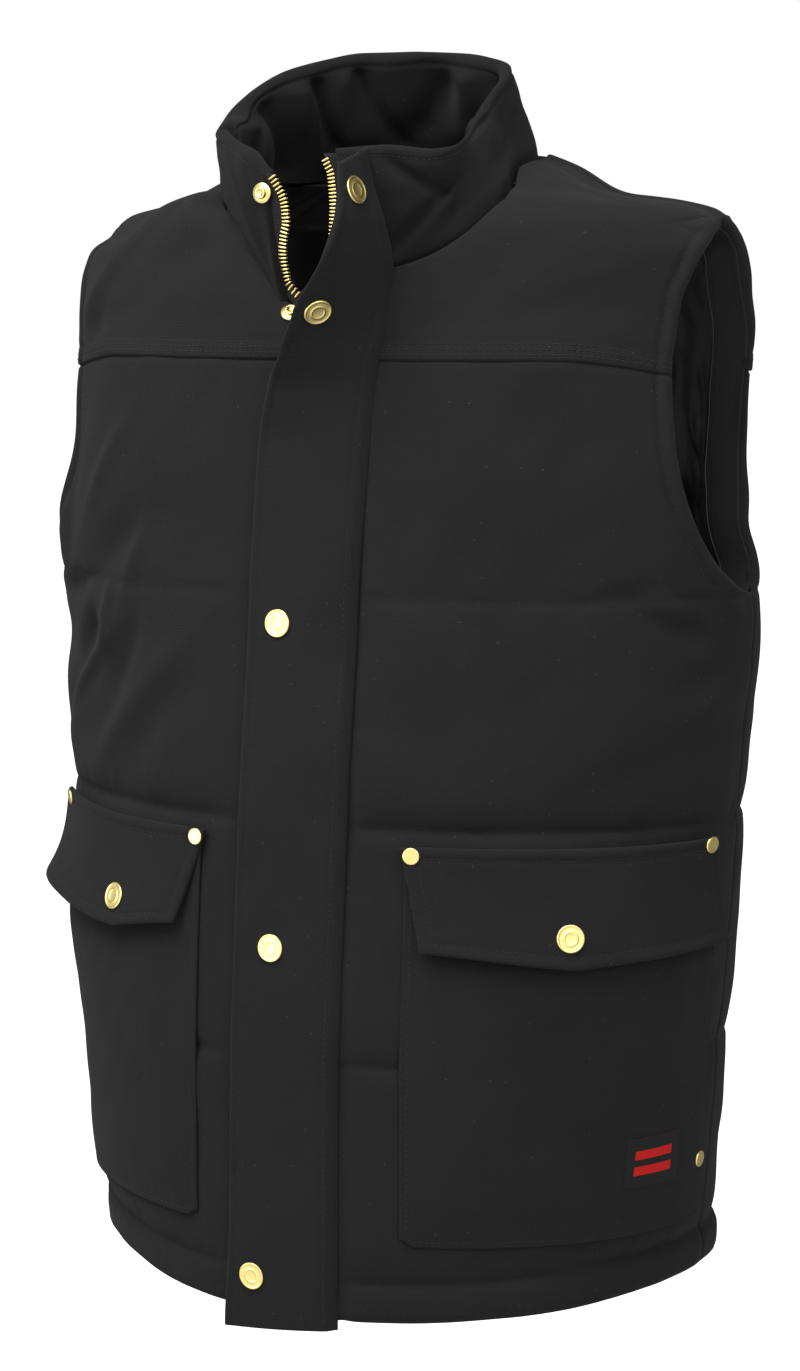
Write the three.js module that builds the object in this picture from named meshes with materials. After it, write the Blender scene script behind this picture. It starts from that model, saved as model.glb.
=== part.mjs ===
// A padded work vest: quilted fronts and back, yokes, stand collar, storm flap over a zipper, and two
// pockets with snap flaps. Millimetres, +Z up, +X to the wearer's left, front towards -Y. The origin is
// the middle of the shoulder rest, and every table below counts heights up from the hem at centre front.
import * as THREE from 'three';

// Driving sizes
const REST_HEIGHT = 612;
const WALL = 7;
const SEAM_GAP = 0.5;
const HEM_RISE = 13;
const HEM_LOW = 8;
const HEM_SEAM = 30;
const QUILT_LINES = [152, 280, 403];
const YOKE_SEAM = 531;
const YOKE_DIP = { drop: 8, from: 40, to: 66 };
const QUILT_PINCH = 3;
const QUILT_EASE = 13;
const ROW_MIN = 6;
const SIDE_CLEAR = 0.2;
const SHOULDER_CLEAR = 0.6;
const LINING = { gap: 3.4, thickness: 1.2, hemStart: 26, frontStart: 14, underNeck: 8, underShoulder: 6 };
const LINING_ROWS = [0, 0.17, 0.34, 0.5, 0.58, 0.63, 0.69, 0.76, 0.84, 0.91, 0.96, 1];
const FACING = { width: 28, thickness: 1.2, gap: 3, short: 7, overTip: 5, setBack: 1.02, overlap: 2 };
const LINING_UNDER_ARM = 4;
const LINING_OVER_TIP = 15;
const COLLAR = { wall: 9, bulge: 2.5, seamLift: 1.2 };
const NECK_GAP = 1.2;
const STORM = { thickness: 3, lift: 1.6, bottom: 5, swing: 470, top: 641, topFall: 9, snapGap: 1 };
const ZIP = { tape: 2.4, teeth: 2, gap: 0.9, tapeThickness: 1, teethThickness: 2.6, depth: 3 };
const ZIP_RUN = { bottom: 34, openFrom: 548, pitch: 3.5, toothRoot: 0.45 };
const POCKET = { clearance: 1, thickness: 2, top: 262, bottom: 55, cornerRise: 9, cornerShare: 0.14 };
const POCKET_FLAP = { thickness: 3, top: 273, corner: 217, point: 208 };
const FLAP_STAND = { top: 4, inner: 9, outer: 14 };
const SNAP = { radius: 7.7, height: 3.2, sides: 14 };
const RIVET = { radius: 4.7, height: 2.2, sides: 10 };
const STUD = { radius: 5.6, height: 3, sides: 12 };
const SLIDER = { width: 9, depth: 3, tall: 14, h: 538 };
const LABEL = { theta: 67, height: 97, width: 36, tall: 28, thickness: 0.7 };
const LIFT_GAP = 0.4;

// Girth at each height: half width, depth to the front and to the back, and the middle's place along Y
const GIRTH = [
  { h: 0, half: 182, front: 142, back: 132, middle: 0 },
  { h: 70, half: 188, front: 143, back: 133, middle: 0 },
  { h: 150, half: 194.5, front: 142, back: 132, middle: 0 },
  { h: 230, half: 201, front: 136, back: 127, middle: 0 },
  { h: 310, half: 205.5, front: 130, back: 122, middle: 0 },
  { h: 395, half: 212, front: 121, back: 114, middle: 0 },
  { h: 455, half: 213, front: 120, back: 111, middle: 2 },
  { h: 525, half: 206, front: 118, back: 104, middle: 5 },
  { h: 560, half: 202, front: 112, back: 97, middle: 8 },
  { h: 585, half: 198, front: 111, back: 86, middle: 13 },
  { h: 600, half: 191, front: 113, back: 76, middle: 19 },
  { h: 611, half: 173, front: 111, back: 64, middle: 24 },
  { h: 620, half: 139, front: 106, back: 53, middle: 26 },
  { h: 630, half: 99, front: 95, back: 45, middle: 22 },
  { h: 644, half: 62, front: 74, back: 37, middle: 14 },
];

// Armhole: how far its edge stands from the side line at each height, in degrees round the body
const ARMHOLE = [
  { h: 403, front: 0, back: 0 },
  { h: 411, front: 9, back: 8 },
  { h: 430, front: 15.5, back: 13.5 },
  { h: 455, front: 20.5, back: 18 },
  { h: 485, front: 24, back: 21 },
  { h: 525, front: 25.5, back: 22.5 },
  { h: 560, front: 23.5, back: 21 },
  { h: 585, front: 18, back: 16 },
  { h: 600, front: 11, back: 10 },
  { h: 608, front: 0, back: 0 },
];

// Height of the neck seam on each front, from centre front to the shoulder, in degrees round the body
const NECK_FRONT = [
  { theta: 0, left: 569, right: 549 },
  { theta: 6, left: 572, right: 560 },
  { theta: 10, left: 575.5, right: 575 },
  { theta: 14.3, left: 579.3, right: 591 },
  { theta: 18, left: 584, right: 601 },
  { theta: 23, left: 593.5, right: 610 },
  { theta: 31.5, left: 609, right: 618 },
  { theta: 45, left: 620.5, right: 624 },
  { theta: 64, left: 631, right: 632 },
  { theta: 90, left: 637, right: 637 },
];
const NECK_BACK_HEIGHT = 641;

// Collar from its front edge round to centre back: the angle of its seam round the body and its top edge
const COLLAR_LEFT = [
  { s: 0, theta: 4.6, x: 11.5, y: -108, h: 640 },
  { s: 0.14, theta: 11, x: 40, y: -109, h: 641 },
  { s: 0.25, theta: 17, x: 63, y: -101, h: 639 },
  { s: 0.32, theta: 21, x: 72, y: -87, h: 642 },
  { s: 0.4, theta: 28, x: 72, y: -66, h: 651 },
  { s: 0.5, theta: 42, x: 72, y: -42, h: 664 },
  { s: 0.64, theta: 66, x: 72, y: -14, h: 680 },
  { s: 0.74, theta: 90, x: 66, y: 4, h: 690 },
  { s: 0.82, theta: 113, x: 51, y: 14, h: 695 },
  { s: 0.89, theta: 140, x: 33, y: 20, h: 698 },
  { s: 1, theta: 180, x: 0, y: 23, h: 700 },
];
const COLLAR_RIGHT = [
  { s: 0, theta: 4.2, x: 30, y: -106, h: 628.5 },
  { s: 0.14, theta: 10, x: 46, y: -100, h: 639 },
  { s: 0.25, theta: 15, x: 61, y: -88, h: 646 },
  { s: 0.37, theta: 24, x: 80, y: -70, h: 654 },
  { s: 0.5, theta: 42, x: 83, y: -42, h: 669 },
  { s: 0.64, theta: 66, x: 75, y: -9, h: 687 },
  { s: 0.77, theta: 98, x: 55, y: 11, h: 696 },
  { s: 0.89, theta: 140, x: 30, y: 20, h: 700 },
  { s: 1, theta: 180, x: 0, y: 23, h: 700 },
];

// Centre front edge of each side above the point where the zipper is open
const FRONT_EDGE = [
  { h: 0, left: 6, right: -6 },
  { h: 545, left: 6, right: -6 },
  { h: 556, left: 9, right: -8.5 },
  { h: 563, left: 12, right: -12.5 },
  { h: 571, left: 15.2, right: -16.8 },
  { h: 584, left: 14.6, right: -19.4 },
  { h: 602, left: 13.3, right: -20.6 },
  { h: 616, left: 12.4, right: -23.6 },
  { h: 628, left: 11.5, right: -29.3 },
  { h: 640, left: 10.8, right: -30 },
];

// Storm flap: the place of its sewn edge, its width, and how far it stands open
const STORM_LINE = [
  { h: 0, sewn: 28, width: 64, open: 0 },
  { h: 390, sewn: 31, width: 64, open: 0 },
  { h: 480, sewn: 35.5, width: 62.5, open: 4 },
  { h: 517, sewn: 38, width: 57, open: 14 },
  { h: 534, sewn: 39, width: 52.5, open: 31 },
  { h: 549, sewn: 39.5, width: 53.5, open: 46 },
  { h: 565, sewn: 40.5, width: 58, open: 62 },
  { h: 582, sewn: 41, width: 54.5, open: 73 },
  { h: 601, sewn: 38.5, width: 43.5, open: 78 },
  { h: 618, sewn: 33, width: 33, open: 81.5 },
  { h: 633, sewn: 30, width: 27, open: 83 },
  { h: 643, sewn: 28.5, width: 19.5, open: 84 },
];

// Snaps of the storm flap: height, and share of the flap's width from its sewn edge
const STORM_SNAPS = [
  { h: 27.5, share: 0.72 },
  { h: 212, share: 0.72 },
  { h: 387, share: 0.72 },
  { h: 555.4, share: 0.745 },
  { h: 617.6, share: 0.66 },
];

// Studs on the wearer's right that the two upper snaps close on: one on the yoke, one on the collar
const YOKE_STUD = { x: -14, h: 551.5 };
const COLLAR_STUD = { s: -0.965, t: 0.78 };

// Pocket sides round the body at its top and bottom, and the places of its metal
const POCKET_SIDE = { inner: 18.6, outerTop: 79, outerBottom: 87 };
const FLAP_SIDE = { inner: 17.2, outer: 80.5, innerLow: 20, outerLow: 79.5 };
const FLAP_RIVETS = [18.9, 77];
const FLAP_RIVET_HEIGHT = 267.5;
const FLAP_SNAP_HEIGHT = 224;
const SIDE_RIVET = { theta: 82.5, h: 95 };

// The right pocket is turned a little towards the front; snap is the share across its flap, point and all
const SIDES = [
  { name: 'left', sign: 1, reach: 1, snap: 0.44, zipTop: 636 },
  { name: 'right', sign: -1, reach: 0.94, snap: 0.36, zipTop: 626 },
];

// Soft folds of the chest and waist: middle, half length along the lean, half width and rise
const FOLDS = [
  { theta: -52, h: 372, lean: 38, length: 75, width: 17, rise: 4 },
  { theta: -40, h: 330, lean: 30, length: 70, width: 20, rise: -3 },
  { theta: -58, h: 455, lean: -60, length: 60, width: 16, rise: 3.5 },
  { theta: 74, h: 376, lean: -32, length: 55, width: 15, rise: 4 },
  { theta: 60, h: 345, lean: -25, length: 60, width: 18, rise: -3 },
];

const DEGREE = Math.PI / 180;
const lerp = THREE.MathUtils.lerp;
const steps = (count) => Array.from({ length: count + 1 }, (_, i) => i / count);

// Smooth curve through one column of a table, with slopes that never overshoot the rows
function column(table, key, name) {
  const x = table.map((row) => row[key]);
  const y = table.map((row) => row[name]);
  const slope = y.slice(1).map((value, i) => (value - y[i]) / (x[i + 1] - x[i]));
  const tangent = y.map((_, i) => {
    if (i === 0) return slope[0];
    if (i === y.length - 1) return slope[i - 1];
    const product = slope[i - 1] * slope[i];
    return product > 0 ? (2 * product) / (slope[i - 1] + slope[i]) : 0;
  });
  return (value) => {
    const v = THREE.MathUtils.clamp(value, x[0], x[x.length - 1]);
    let i = x.findIndex((start, k) => k < x.length - 1 && v <= x[k + 1]);
    if (i < 0) i = x.length - 2;
    const span = x[i + 1] - x[i];
    const t = (v - x[i]) / span;
    const s = 1 - t;
    return (1 + 2 * t) * s * s * y[i] + t * s * s * span * tangent[i]
      + t * t * (3 - 2 * t) * y[i + 1] - t * t * s * span * tangent[i + 1];
  };
}

const girth = {
  half: column(GIRTH, 'h', 'half'),
  front: column(GIRTH, 'h', 'front'),
  back: column(GIRTH, 'h', 'back'),
  middle: column(GIRTH, 'h', 'middle'),
};
const armhole = { front: column(ARMHOLE, 'h', 'front'), back: column(ARMHOLE, 'h', 'back') };
const neckFront = { left: column(NECK_FRONT, 'theta', 'left'), right: column(NECK_FRONT, 'theta', 'right') };
const neckBack = (theta) => lerp(NECK_POINT, NECK_BACK_HEIGHT, Math.sin((theta - 90) * DEGREE));
const neckHeight = (theta, name) => (theta <= 90 ? neckFront[name](theta) : neckBack(theta));
const frontEdge = { left: column(FRONT_EDGE, 'h', 'left'), right: column(FRONT_EDGE, 'h', 'right') };
const storm = {
  sewn: column(STORM_LINE, 'h', 'sewn'),
  width: column(STORM_LINE, 'h', 'width'),
  open: column(STORM_LINE, 'h', 'open'),
};
const ARMPIT = ARMHOLE[0].h;
const SHOULDER_TIP = ARMHOLE[ARMHOLE.length - 1].h;
const NECK_POINT = NECK_FRONT[NECK_FRONT.length - 1].left;

const hemHeight = (theta) => HEM_LOW + HEM_RISE * Math.sin(theta * DEGREE) ** 2;

// The yoke seam runs level and dips towards the armholes, on the front and on the back
function yokeHeight(theta) {
  const fromMiddle = Math.asin(Math.abs(Math.sin(theta * DEGREE))) / DEGREE;
  return YOKE_SEAM - YOKE_DIP.drop * THREE.MathUtils.smoothstep(fromMiddle, YOKE_DIP.from, YOKE_DIP.to);
}
const thetaAt = (x, h) => Math.asin(x / girth.half(h)) / DEGREE;

// Point of the outer cloth at an angle round the body from centre front and a height
function ring(theta, h) {
  const t = theta * DEGREE;
  const depth = Math.cos(t) > 0 ? girth.front(h) : girth.back(h);
  const y = girth.middle(h) - depth * Math.cos(t);
  return new THREE.Vector3(girth.half(h) * Math.sin(t), y, h - REST_HEIGHT);
}

function outward(theta, h) {
  const around = ring(theta + 0.5, h).sub(ring(theta - 0.5, h));
  const up = ring(theta, h + 1).sub(ring(theta, h - 1));
  return around.cross(up).normalize();
}

const cloth = (theta, h, lift = 0) => ring(theta, h).addScaledVector(outward(theta, h), lift);

// Pull of the quilt lines and rise of the soft folds at a place on the cloth
function relief(theta, h) {
  const seams = [HEM_SEAM + hemHeight(theta) - HEM_LOW, ...QUILT_LINES];
  const pull = Math.max(...seams.map((line) => Math.max(0, 1 - Math.abs(h - line) / QUILT_EASE)));
  const folds = FOLDS.map((fold) => {
    const across = (theta - fold.theta) * DEGREE * girth.half(h);
    const rise = h - fold.h;
    const along = across * Math.cos(fold.lean * DEGREE) + rise * Math.sin(fold.lean * DEGREE);
    const aside = rise * Math.cos(fold.lean * DEGREE) - across * Math.sin(fold.lean * DEGREE);
    return fold.rise * Math.exp(-((along / fold.length) ** 2) - (aside / fold.width) ** 2);
  });
  return folds.reduce((sum, value) => sum + value, 0) - QUILT_PINCH * pull;
}

// Closed wall between two point grids; a looped wall joins its last column to its first
function wall(us, vs, outer, inner, looped = false) {
  const columns = us.length;
  const rows = vs.length;
  const count = columns * rows;
  const at = (i, j, side) => side * count + (i % columns) * rows + j;
  const points = (face) => us.flatMap((u) => vs.flatMap((v) => face(u, v).toArray()));
  const positions = [...points(outer), ...points(inner)];
  const index = [];
  const quad = (a, b, c, d) => index.push(a, b, c, a, c, d);
  const last = looped ? columns : columns - 1;
  for (let i = 0; i < last; i++) {
    for (let j = 0; j < rows - 1; j++) {
      quad(at(i, j, 0), at(i + 1, j, 0), at(i + 1, j + 1, 0), at(i, j + 1, 0));
      quad(at(i, j, 1), at(i, j + 1, 1), at(i + 1, j + 1, 1), at(i + 1, j, 1));
    }
    quad(at(i, 0, 1), at(i + 1, 0, 1), at(i + 1, 0, 0), at(i, 0, 0));
    quad(at(i, rows - 1, 0), at(i + 1, rows - 1, 0), at(i + 1, rows - 1, 1), at(i, rows - 1, 1));
  }
  for (let j = 0; j < rows - 1 && !looped; j++) {
    quad(at(0, j, 0), at(0, j + 1, 0), at(0, j + 1, 1), at(0, j, 1));
    quad(at(last, j, 1), at(last, j + 1, 1), at(last, j + 1, 0), at(last, j, 0));
  }
  return facingOut(positions, index);
}

// Geometry whose triangles face out, whichever way round its grid was walked
function facingOut(positions, index) {
  const corner = (i) => new THREE.Vector3().fromArray(positions, index[i] * 3);
  let volume = 0;
  for (let i = 0; i < index.length; i += 3) volume += corner(i).dot(corner(i + 1).cross(corner(i + 2)));
  const geometry = new THREE.BufferGeometry();
  geometry.setAttribute('position', new THREE.Float32BufferAttribute(positions, 3));
  geometry.setIndex(volume < 0 ? index.toReversed() : index);
  geometry.computeVertexNormals();
  return geometry;
}

// Blend of four edges in the (theta, h) plane, each given from 0 to 1
function coons(bottom, top, left, right) {
  return (u, v) => {
    const mix = (k) => (1 - v) * bottom(u)[k] + v * top(u)[k] + (1 - u) * left(v)[k] + u * right(v)[k]
      - (1 - u) * (1 - v) * bottom(0)[k] - u * (1 - v) * bottom(1)[k]
      - (1 - u) * v * top(0)[k] - u * v * top(1)[k];
    return [mix(0), mix(1)];
  };
}

// Place along a chain of edges that share the range 0 to 1 by the given shares
const CLOSE = 1e-9;
function chain(...parts) {
  return (t) => {
    let start = 0;
    for (const [share, edge] of parts) {
      if (t <= start + share + CLOSE) return edge(THREE.MathUtils.clamp((t - start) / share, 0, 1));
      start += share;
    }
    return parts[parts.length - 1][1](1);
  };
}

// A wall laid on the cloth: place(u, v) gives the angle and height, the lifts its two faces
function laid(us, vs, place, outerLift, innerLift) {
  const face = (lift) => (u, v) => {
    const [theta, h] = place(u, v);
    return cloth(theta, h, typeof lift === 'function' ? lift(u, v, theta, h) : lift);
  };
  return wall(us, vs, face(outerLift), face(innerLift));
}

const canvas = () => new THREE.MeshStandardMaterial({ color: 0x232426, roughness: 0.92, metalness: 0 });
const satin = () => new THREE.MeshStandardMaterial({ color: 0x141416, roughness: 0.4, metalness: 0 });
const brass = () => new THREE.MeshStandardMaterial({ color: 0xc9a256, roughness: 0.28, metalness: 1 });
const tape = () => new THREE.MeshStandardMaterial({ color: 0x1a1a1b, roughness: 0.9, metalness: 0 });
const woven = () => new THREE.MeshStandardMaterial({ color: 0x1c1c1f, roughness: 0.75, metalness: 0 });

const vest = new THREE.Group();
function add(name, geometry, material) {
  const mesh = new THREE.Mesh(geometry, material);
  mesh.name = name;
  vest.add(mesh);
  return mesh;
}

// Rows of the quilted panels: each quilt line with a row on both sides, and one row between lines
function panelRows() {
  const lines = [HEM_SEAM, ...QUILT_LINES];
  const rows = [0, HEM_SEAM / 2];
  lines.forEach((line, i) => {
    const next = lines[i + 1] ?? YOKE_SEAM;
    rows.push(line - QUILT_EASE, line, line + QUILT_EASE, (line + next) / 2);
  });
  const sorted = [...rows, YOKE_SEAM].sort((a, b) => a - b);
  return sorted.filter((row, i, all) => i === 0 || row - all[i - 1] > ROW_MIN);
}

// Height of a panel row at an angle: the hem's rise dies out by the first quilt line
function rowHeight(row, theta) {
  const fade = Math.max(0, 1 - row / QUILT_LINES[0]);
  const low = row + hemHeight(theta) * fade;
  return row === YOKE_SEAM ? yokeHeight(theta) - SEAM_GAP : low;
}

// Angle of a panel's outer side at a height: the side seam, then the armhole's edge
const sideOfFront = (h) => 90 - (h > ARMPIT ? armhole.front(h) : 0) - SIDE_CLEAR;
const sideOfBack = (h) => 90 + (h > ARMPIT ? armhole.back(h) : 0) + SIDE_CLEAR;

function frontPanel({ name, sign }) {
  const place = (u, row) => {
    const edge = Math.abs(thetaAt(frontEdge[name](row), Math.max(row, 1)));
    const theta = lerp(edge, sideOfFront(row), u) * sign;
    return [theta, rowHeight(row, theta)];
  };
  const lift = (u, row, theta, h) => relief(theta, h);
  return laid(steps(10), panelRows(), place, lift, -WALL);
}

function backPanel() {
  const place = (u, row) => {
    const side = sideOfBack(row);
    const theta = lerp(side, 360 - side, u);
    return [theta, rowHeight(row, theta)];
  };
  const lift = (u, row, theta, h) => Math.min(0, relief(theta, h));
  return laid(steps(16), panelRows(), place, lift, -WALL);
}

// Shoulder line from the neck point to the tip, a little off the side line so that two yokes keep clear
const shoulder = (side) => (t) => [90 + side * SHOULDER_CLEAR, lerp(NECK_POINT - NECK_GAP, SHOULDER_TIP, t)];

// Armhole edge from the yoke seam to the shoulder tip
const yokeSide = (edge, side) => (t) => {
  const h = lerp(yokeHeight(YOKE_DIP.to) + SEAM_GAP, SHOULDER_TIP, t);
  return [90 + side * (edge(h) + SHOULDER_CLEAR), h];
};

// The front edge and the neck seam cross where the seam's height at the edge's angle is the edge's own.
// Rows along the seam crowd towards the front, where it turns most.
const FRONT_CORNER_STEPS = 12;
const NECK_CROWDING = 1.7;
function frontYoke({ name, sign }) {
  const seam = yokeHeight(0) + SEAM_GAP;
  const edgeAngle = (h) => Math.abs(thetaAt(frontEdge[name](h), h));
  const outer = yokeSide(armhole.front, -1);
  const corner = steps(FRONT_CORNER_STEPS).reduce((h) => neckFront[name](edgeAngle(h)), NECK_FRONT[0][name]);
  const neckStart = corner - NECK_GAP;
  const startAngle = edgeAngle(neckStart);
  const inner = chain(
    [0.25, (t) => [edgeAngle(lerp(seam, neckStart, t)), lerp(seam, neckStart, t)]],
    [0.75, (t) => {
      const theta = lerp(startAngle, 90 - SHOULDER_CLEAR, t ** NECK_CROWDING);
      return [theta, neckFront[name](theta) - NECK_GAP];
    }],
  );
  const bottom = (u) => {
    const theta = lerp(edgeAngle(seam), outer(0)[0], u);
    return [theta, yokeHeight(theta) + SEAM_GAP];
  };
  const patch = coons(bottom, shoulder(-1), inner, outer);
  const place = (u, v) => {
    const [theta, h] = patch(u, v);
    return [theta * sign, h];
  };
  return laid(steps(8), steps(12), place, 0, -WALL);
}

function backYoke() {
  const outer = yokeSide(armhole.back, 1);
  const mirrored = (edge) => (t) => [360 - edge(t)[0], edge(t)[1]];
  const tipToNeck = (t) => shoulder(1)(1 - t);
  const neck = (t) => {
    const theta = lerp(90 + SHOULDER_CLEAR, 270 - SHOULDER_CLEAR, t);
    return [theta, neckBack(theta) - NECK_GAP];
  };
  const top = chain([0.3, tipToNeck], [0.4, neck], [0.3, (t) => mirrored(tipToNeck)(1 - t)]);
  const bottom = (u) => {
    const theta = lerp(outer(0)[0], 360 - outer(0)[0], u);
    return [theta, yokeHeight(theta) + SEAM_GAP];
  };
  return laid(steps(20), steps(7), coons(bottom, top, outer, mirrored(outer)), 0, -WALL);
}

// Linings hang inside the wall from the hem to the shoulder and stop where the armhole facing begins
const liningLift = -WALL - LINING.gap;
const LINING_ARMPIT = ARMPIT - FACING.width - LINING_UNDER_ARM;
const LINING_TIP = SHOULDER_TIP + LINING_OVER_TIP;
const LINING_NECK = NECK_POINT - LINING.underShoulder;

function liningSide(table, side) {
  const edge = (h) => (h < LINING_ARMPIT ? 0 : armholeSpread(table, h));
  return (t) => {
    const h = lerp(LINING.hemStart, LINING_TIP, t);
    return [90 + side * (edge(h) + SHOULDER_CLEAR), h];
  };
}

// Edge of the armhole facing away from the hole: the armhole's outline grown by the facing's width
function armholeSpread(edge, h) {
  const middle = (ARMPIT + SHOULDER_TIP) / 2;
  const tall = LINING_TIP - LINING_ARMPIT;
  const near = middle + ((h - middle) * (SHOULDER_TIP - ARMPIT)) / tall;
  const hole = edge(THREE.MathUtils.clamp(near, ARMPIT, SHOULDER_TIP));
  const share = THREE.MathUtils.clamp((h - LINING_ARMPIT) / tall, 0, 1);
  const strip = (FACING.width + FACING.overlap) / girth.half(h) / DEGREE;
  return hole + strip * Math.sqrt(Math.sin(Math.PI * share));
}

function frontLining({ name, sign }) {
  const startAngle = LINING.frontStart;
  const neckStart = neckFront[name](startAngle) - LINING.underNeck;
  const outer = liningSide(armhole.front, -1);
  const top = (u) => [90 - SHOULDER_CLEAR, lerp(LINING_NECK, LINING_TIP, u)];
  const inner = chain(
    [0.75, (t) => [startAngle, lerp(LINING.hemStart, neckStart, t)]],
    [0.25, (t) => {
      const theta = lerp(startAngle, 90 - SHOULDER_CLEAR, t);
      return [theta, lerp(neckFront[name](theta) - LINING.underNeck, LINING_NECK, t)];
    }],
  );
  const bottom = (u) => [lerp(startAngle, outer(0)[0], u), LINING.hemStart];
  const patch = coons(bottom, top, inner, outer);
  const place = (u, v) => {
    const [theta, h] = patch(u, v);
    return [theta * sign, h];
  };
  return laid(steps(6), LINING_ROWS, place, liningLift, liningLift - LINING.thickness);
}

function backLining() {
  const outer = liningSide(armhole.back, 1);
  const mirrored = (edge) => (t) => [360 - edge(t)[0], edge(t)[1]];
  const tipToNeck = (t) => [90 + SHOULDER_CLEAR, lerp(LINING_TIP, LINING_NECK, t)];
  const neck = (t) => [lerp(90 + SHOULDER_CLEAR, 270 - SHOULDER_CLEAR, t), LINING_NECK];
  const top = chain([0.25, tipToNeck], [0.5, neck], [0.25, (t) => mirrored(tipToNeck)(1 - t)]);
  const bottom = (u) => [lerp(outer(0)[0], 360 - outer(0)[0], u), LINING.hemStart];
  return laid(steps(12), LINING_ROWS, coons(bottom, top, outer, mirrored(outer)), liningLift,
    liningLift - LINING.thickness);
}

// Canvas strip that faces the armhole inside, a loop from its edge to the lining
function armholeFacing({ sign }) {
  const middle = (ARMPIT + SHOULDER_TIP) / 2;
  const tall = (SHOULDER_TIP - ARMPIT) / 2;
  const place = (u, v) => {
    const turn = u * 2 * Math.PI;
    const reach = v === 0 ? FACING.setBack : 1;
    const low = lerp(middle - tall, LINING_ARMPIT + FACING.short, v);
    const high = lerp(middle + tall, SHOULDER_TIP + FACING.overTip, v);
    const h = lerp(low, high, (1 - Math.cos(turn)) / 2);
    const front = turn < Math.PI;
    const table = front ? armhole.front : armhole.back;
    const hole = table(THREE.MathUtils.clamp(h, ARMPIT, SHOULDER_TIP)) * reach;
    const grown = Math.max(0, armholeSpread(table, h) - FACING.short / girth.half(h) / DEGREE);
    return [(90 + (front ? -1 : 1) * lerp(hole, grown, v)) * sign, h];
  };
  const face = (lift) => (u, v) => cloth(...place(u, v), lift);
  const us = steps(28).slice(0, -1);
  const near = -WALL - FACING.gap;
  return wall(us, [0, 1], face(near), face(near - FACING.thickness), true);
}

// Collar: a padded stand on the neck seam, open at centre front
function collarPoint(s, t, lift) {
  const side = s < 0 ? 'right' : 'left';
  const share = 1 - Math.abs(s);
  const value = (name) => collarColumn[side][name](share);
  const sign = s < 0 ? -1 : 1;
  const foot = collarFoot(s);
  const head = new THREE.Vector3(value('x') * sign, value('y'), value('h') - REST_HEIGHT);
  const point = foot.clone().lerp(head, t);
  const ahead = collarFoot(s + 0.01);
  const behind = collarFoot(s - 0.01);
  const normal = head.sub(foot).cross(ahead.sub(behind)).normalize();
  return point.addScaledVector(normal, lift + COLLAR.bulge * Math.sin(Math.PI * t));
}

function collarFoot(s) {
  const side = s < 0 ? 'right' : 'left';
  const theta = collarColumn[side].theta(1 - Math.min(1, Math.abs(s)));
  return ring(s < 0 ? -theta : theta, neckHeight(theta, side) + COLLAR.seamLift);
}

const COLLAR_COLUMNS = ['theta', 'x', 'y', 'h'];
const collarColumns = (table) => Object.fromEntries(
  COLLAR_COLUMNS.map((name) => [name, column(table, 's', name)]));
const collarColumn = { left: collarColumns(COLLAR_LEFT), right: collarColumns(COLLAR_RIGHT) };

function collar() {
  const us = steps(34).map((u) => u * 2 - 1);
  const face = (lift) => (s, t) => collarPoint(s, t, lift);
  return wall(us, steps(4), face(0), face(-COLLAR.wall));
}

// Front of the garment along Y near the centre: the body below the neck seam, the collar above it
function frontDepth(x, h) {
  const collarStart = NECK_FRONT[0].left;
  if (h <= collarStart) return ring(thetaAt(x, h), h).y;
  const { y: topY, h: topH } = COLLAR_LEFT[0];
  const t = THREE.MathUtils.clamp((h - collarStart) / (topH - collarStart), 0, 1);
  const bulge = COLLAR.bulge * Math.sin(Math.PI * t);
  return lerp(ring(thetaAt(x, collarStart), collarStart).y, topY, t) - bulge;
}

// Storm flap: follows the front, and swings open about its sewn edge towards the collar
function stormPoint(s, h, lift) {
  const sewn = storm.sewn(h);
  const x = sewn - storm.width(h) * s;
  const root = frontDepth(sewn, h);
  const hinge = new THREE.Vector3(sewn, root - STORM.lift, h - REST_HEIGHT);
  const flat = new THREE.Vector3(x - sewn, frontDepth(x, h) - root - lift, 0);
  return flat.applyAxisAngle(new THREE.Vector3(0, 0, 1), storm.open(h) * DEGREE).add(hinge);
}

function stormNormal(s, h) {
  const along = stormPoint(s - 0.05, h, 0).sub(stormPoint(s + 0.05, h, 0));
  const up = stormPoint(s, h + 2, 0).sub(stormPoint(s, h - 2, 0));
  return along.cross(up).normalize();
}

function stormFlap() {
  const heights = [...steps(9).map((t) => lerp(STORM.bottom, STORM.swing, t)),
    ...steps(18).slice(1).map((t) => lerp(STORM.swing, STORM.top, t))];
  const fall = (s, h) => h - STORM.topFall * s * THREE.MathUtils.smoothstep(h, STORM.swing, STORM.top);
  const face = (lift) => (s, h) => stormPoint(s, fall(s, h), lift);
  return wall(steps(4), heights, face(STORM.thickness), face(0));
}

// Zipper: on each side a tape along the front edge and a row of teeth, which show where it is open
function zipperStrip({ name, sign }, from, to, thickness, rows) {
  const face = (back) => (u, h) => {
    const edge = frontEdge[name](h);
    const reach = typeof to === 'function' ? to(h) : to;
    const x = edge - sign * lerp(from, reach, u);
    return new THREE.Vector3(x, frontDepth(edge, h) + ZIP.depth + back, h - REST_HEIGHT);
  };
  return wall([0, 1], rows, face(-thickness / 2), face(thickness / 2));
}

// Two rows for each tooth where the zipper is open, and a tape row for every third tooth
const TAPE_EVERY = 6;
const closedRows = steps(8).map((t) => lerp(ZIP_RUN.bottom, ZIP_RUN.openFrom, t));
function openRows({ zipTop }) {
  const count = Math.floor((zipTop - ZIP_RUN.openFrom) / ZIP_RUN.pitch) * 2;
  return steps(count).slice(1).map((t) => lerp(ZIP_RUN.openFrom, zipTop, t));
}

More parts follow.
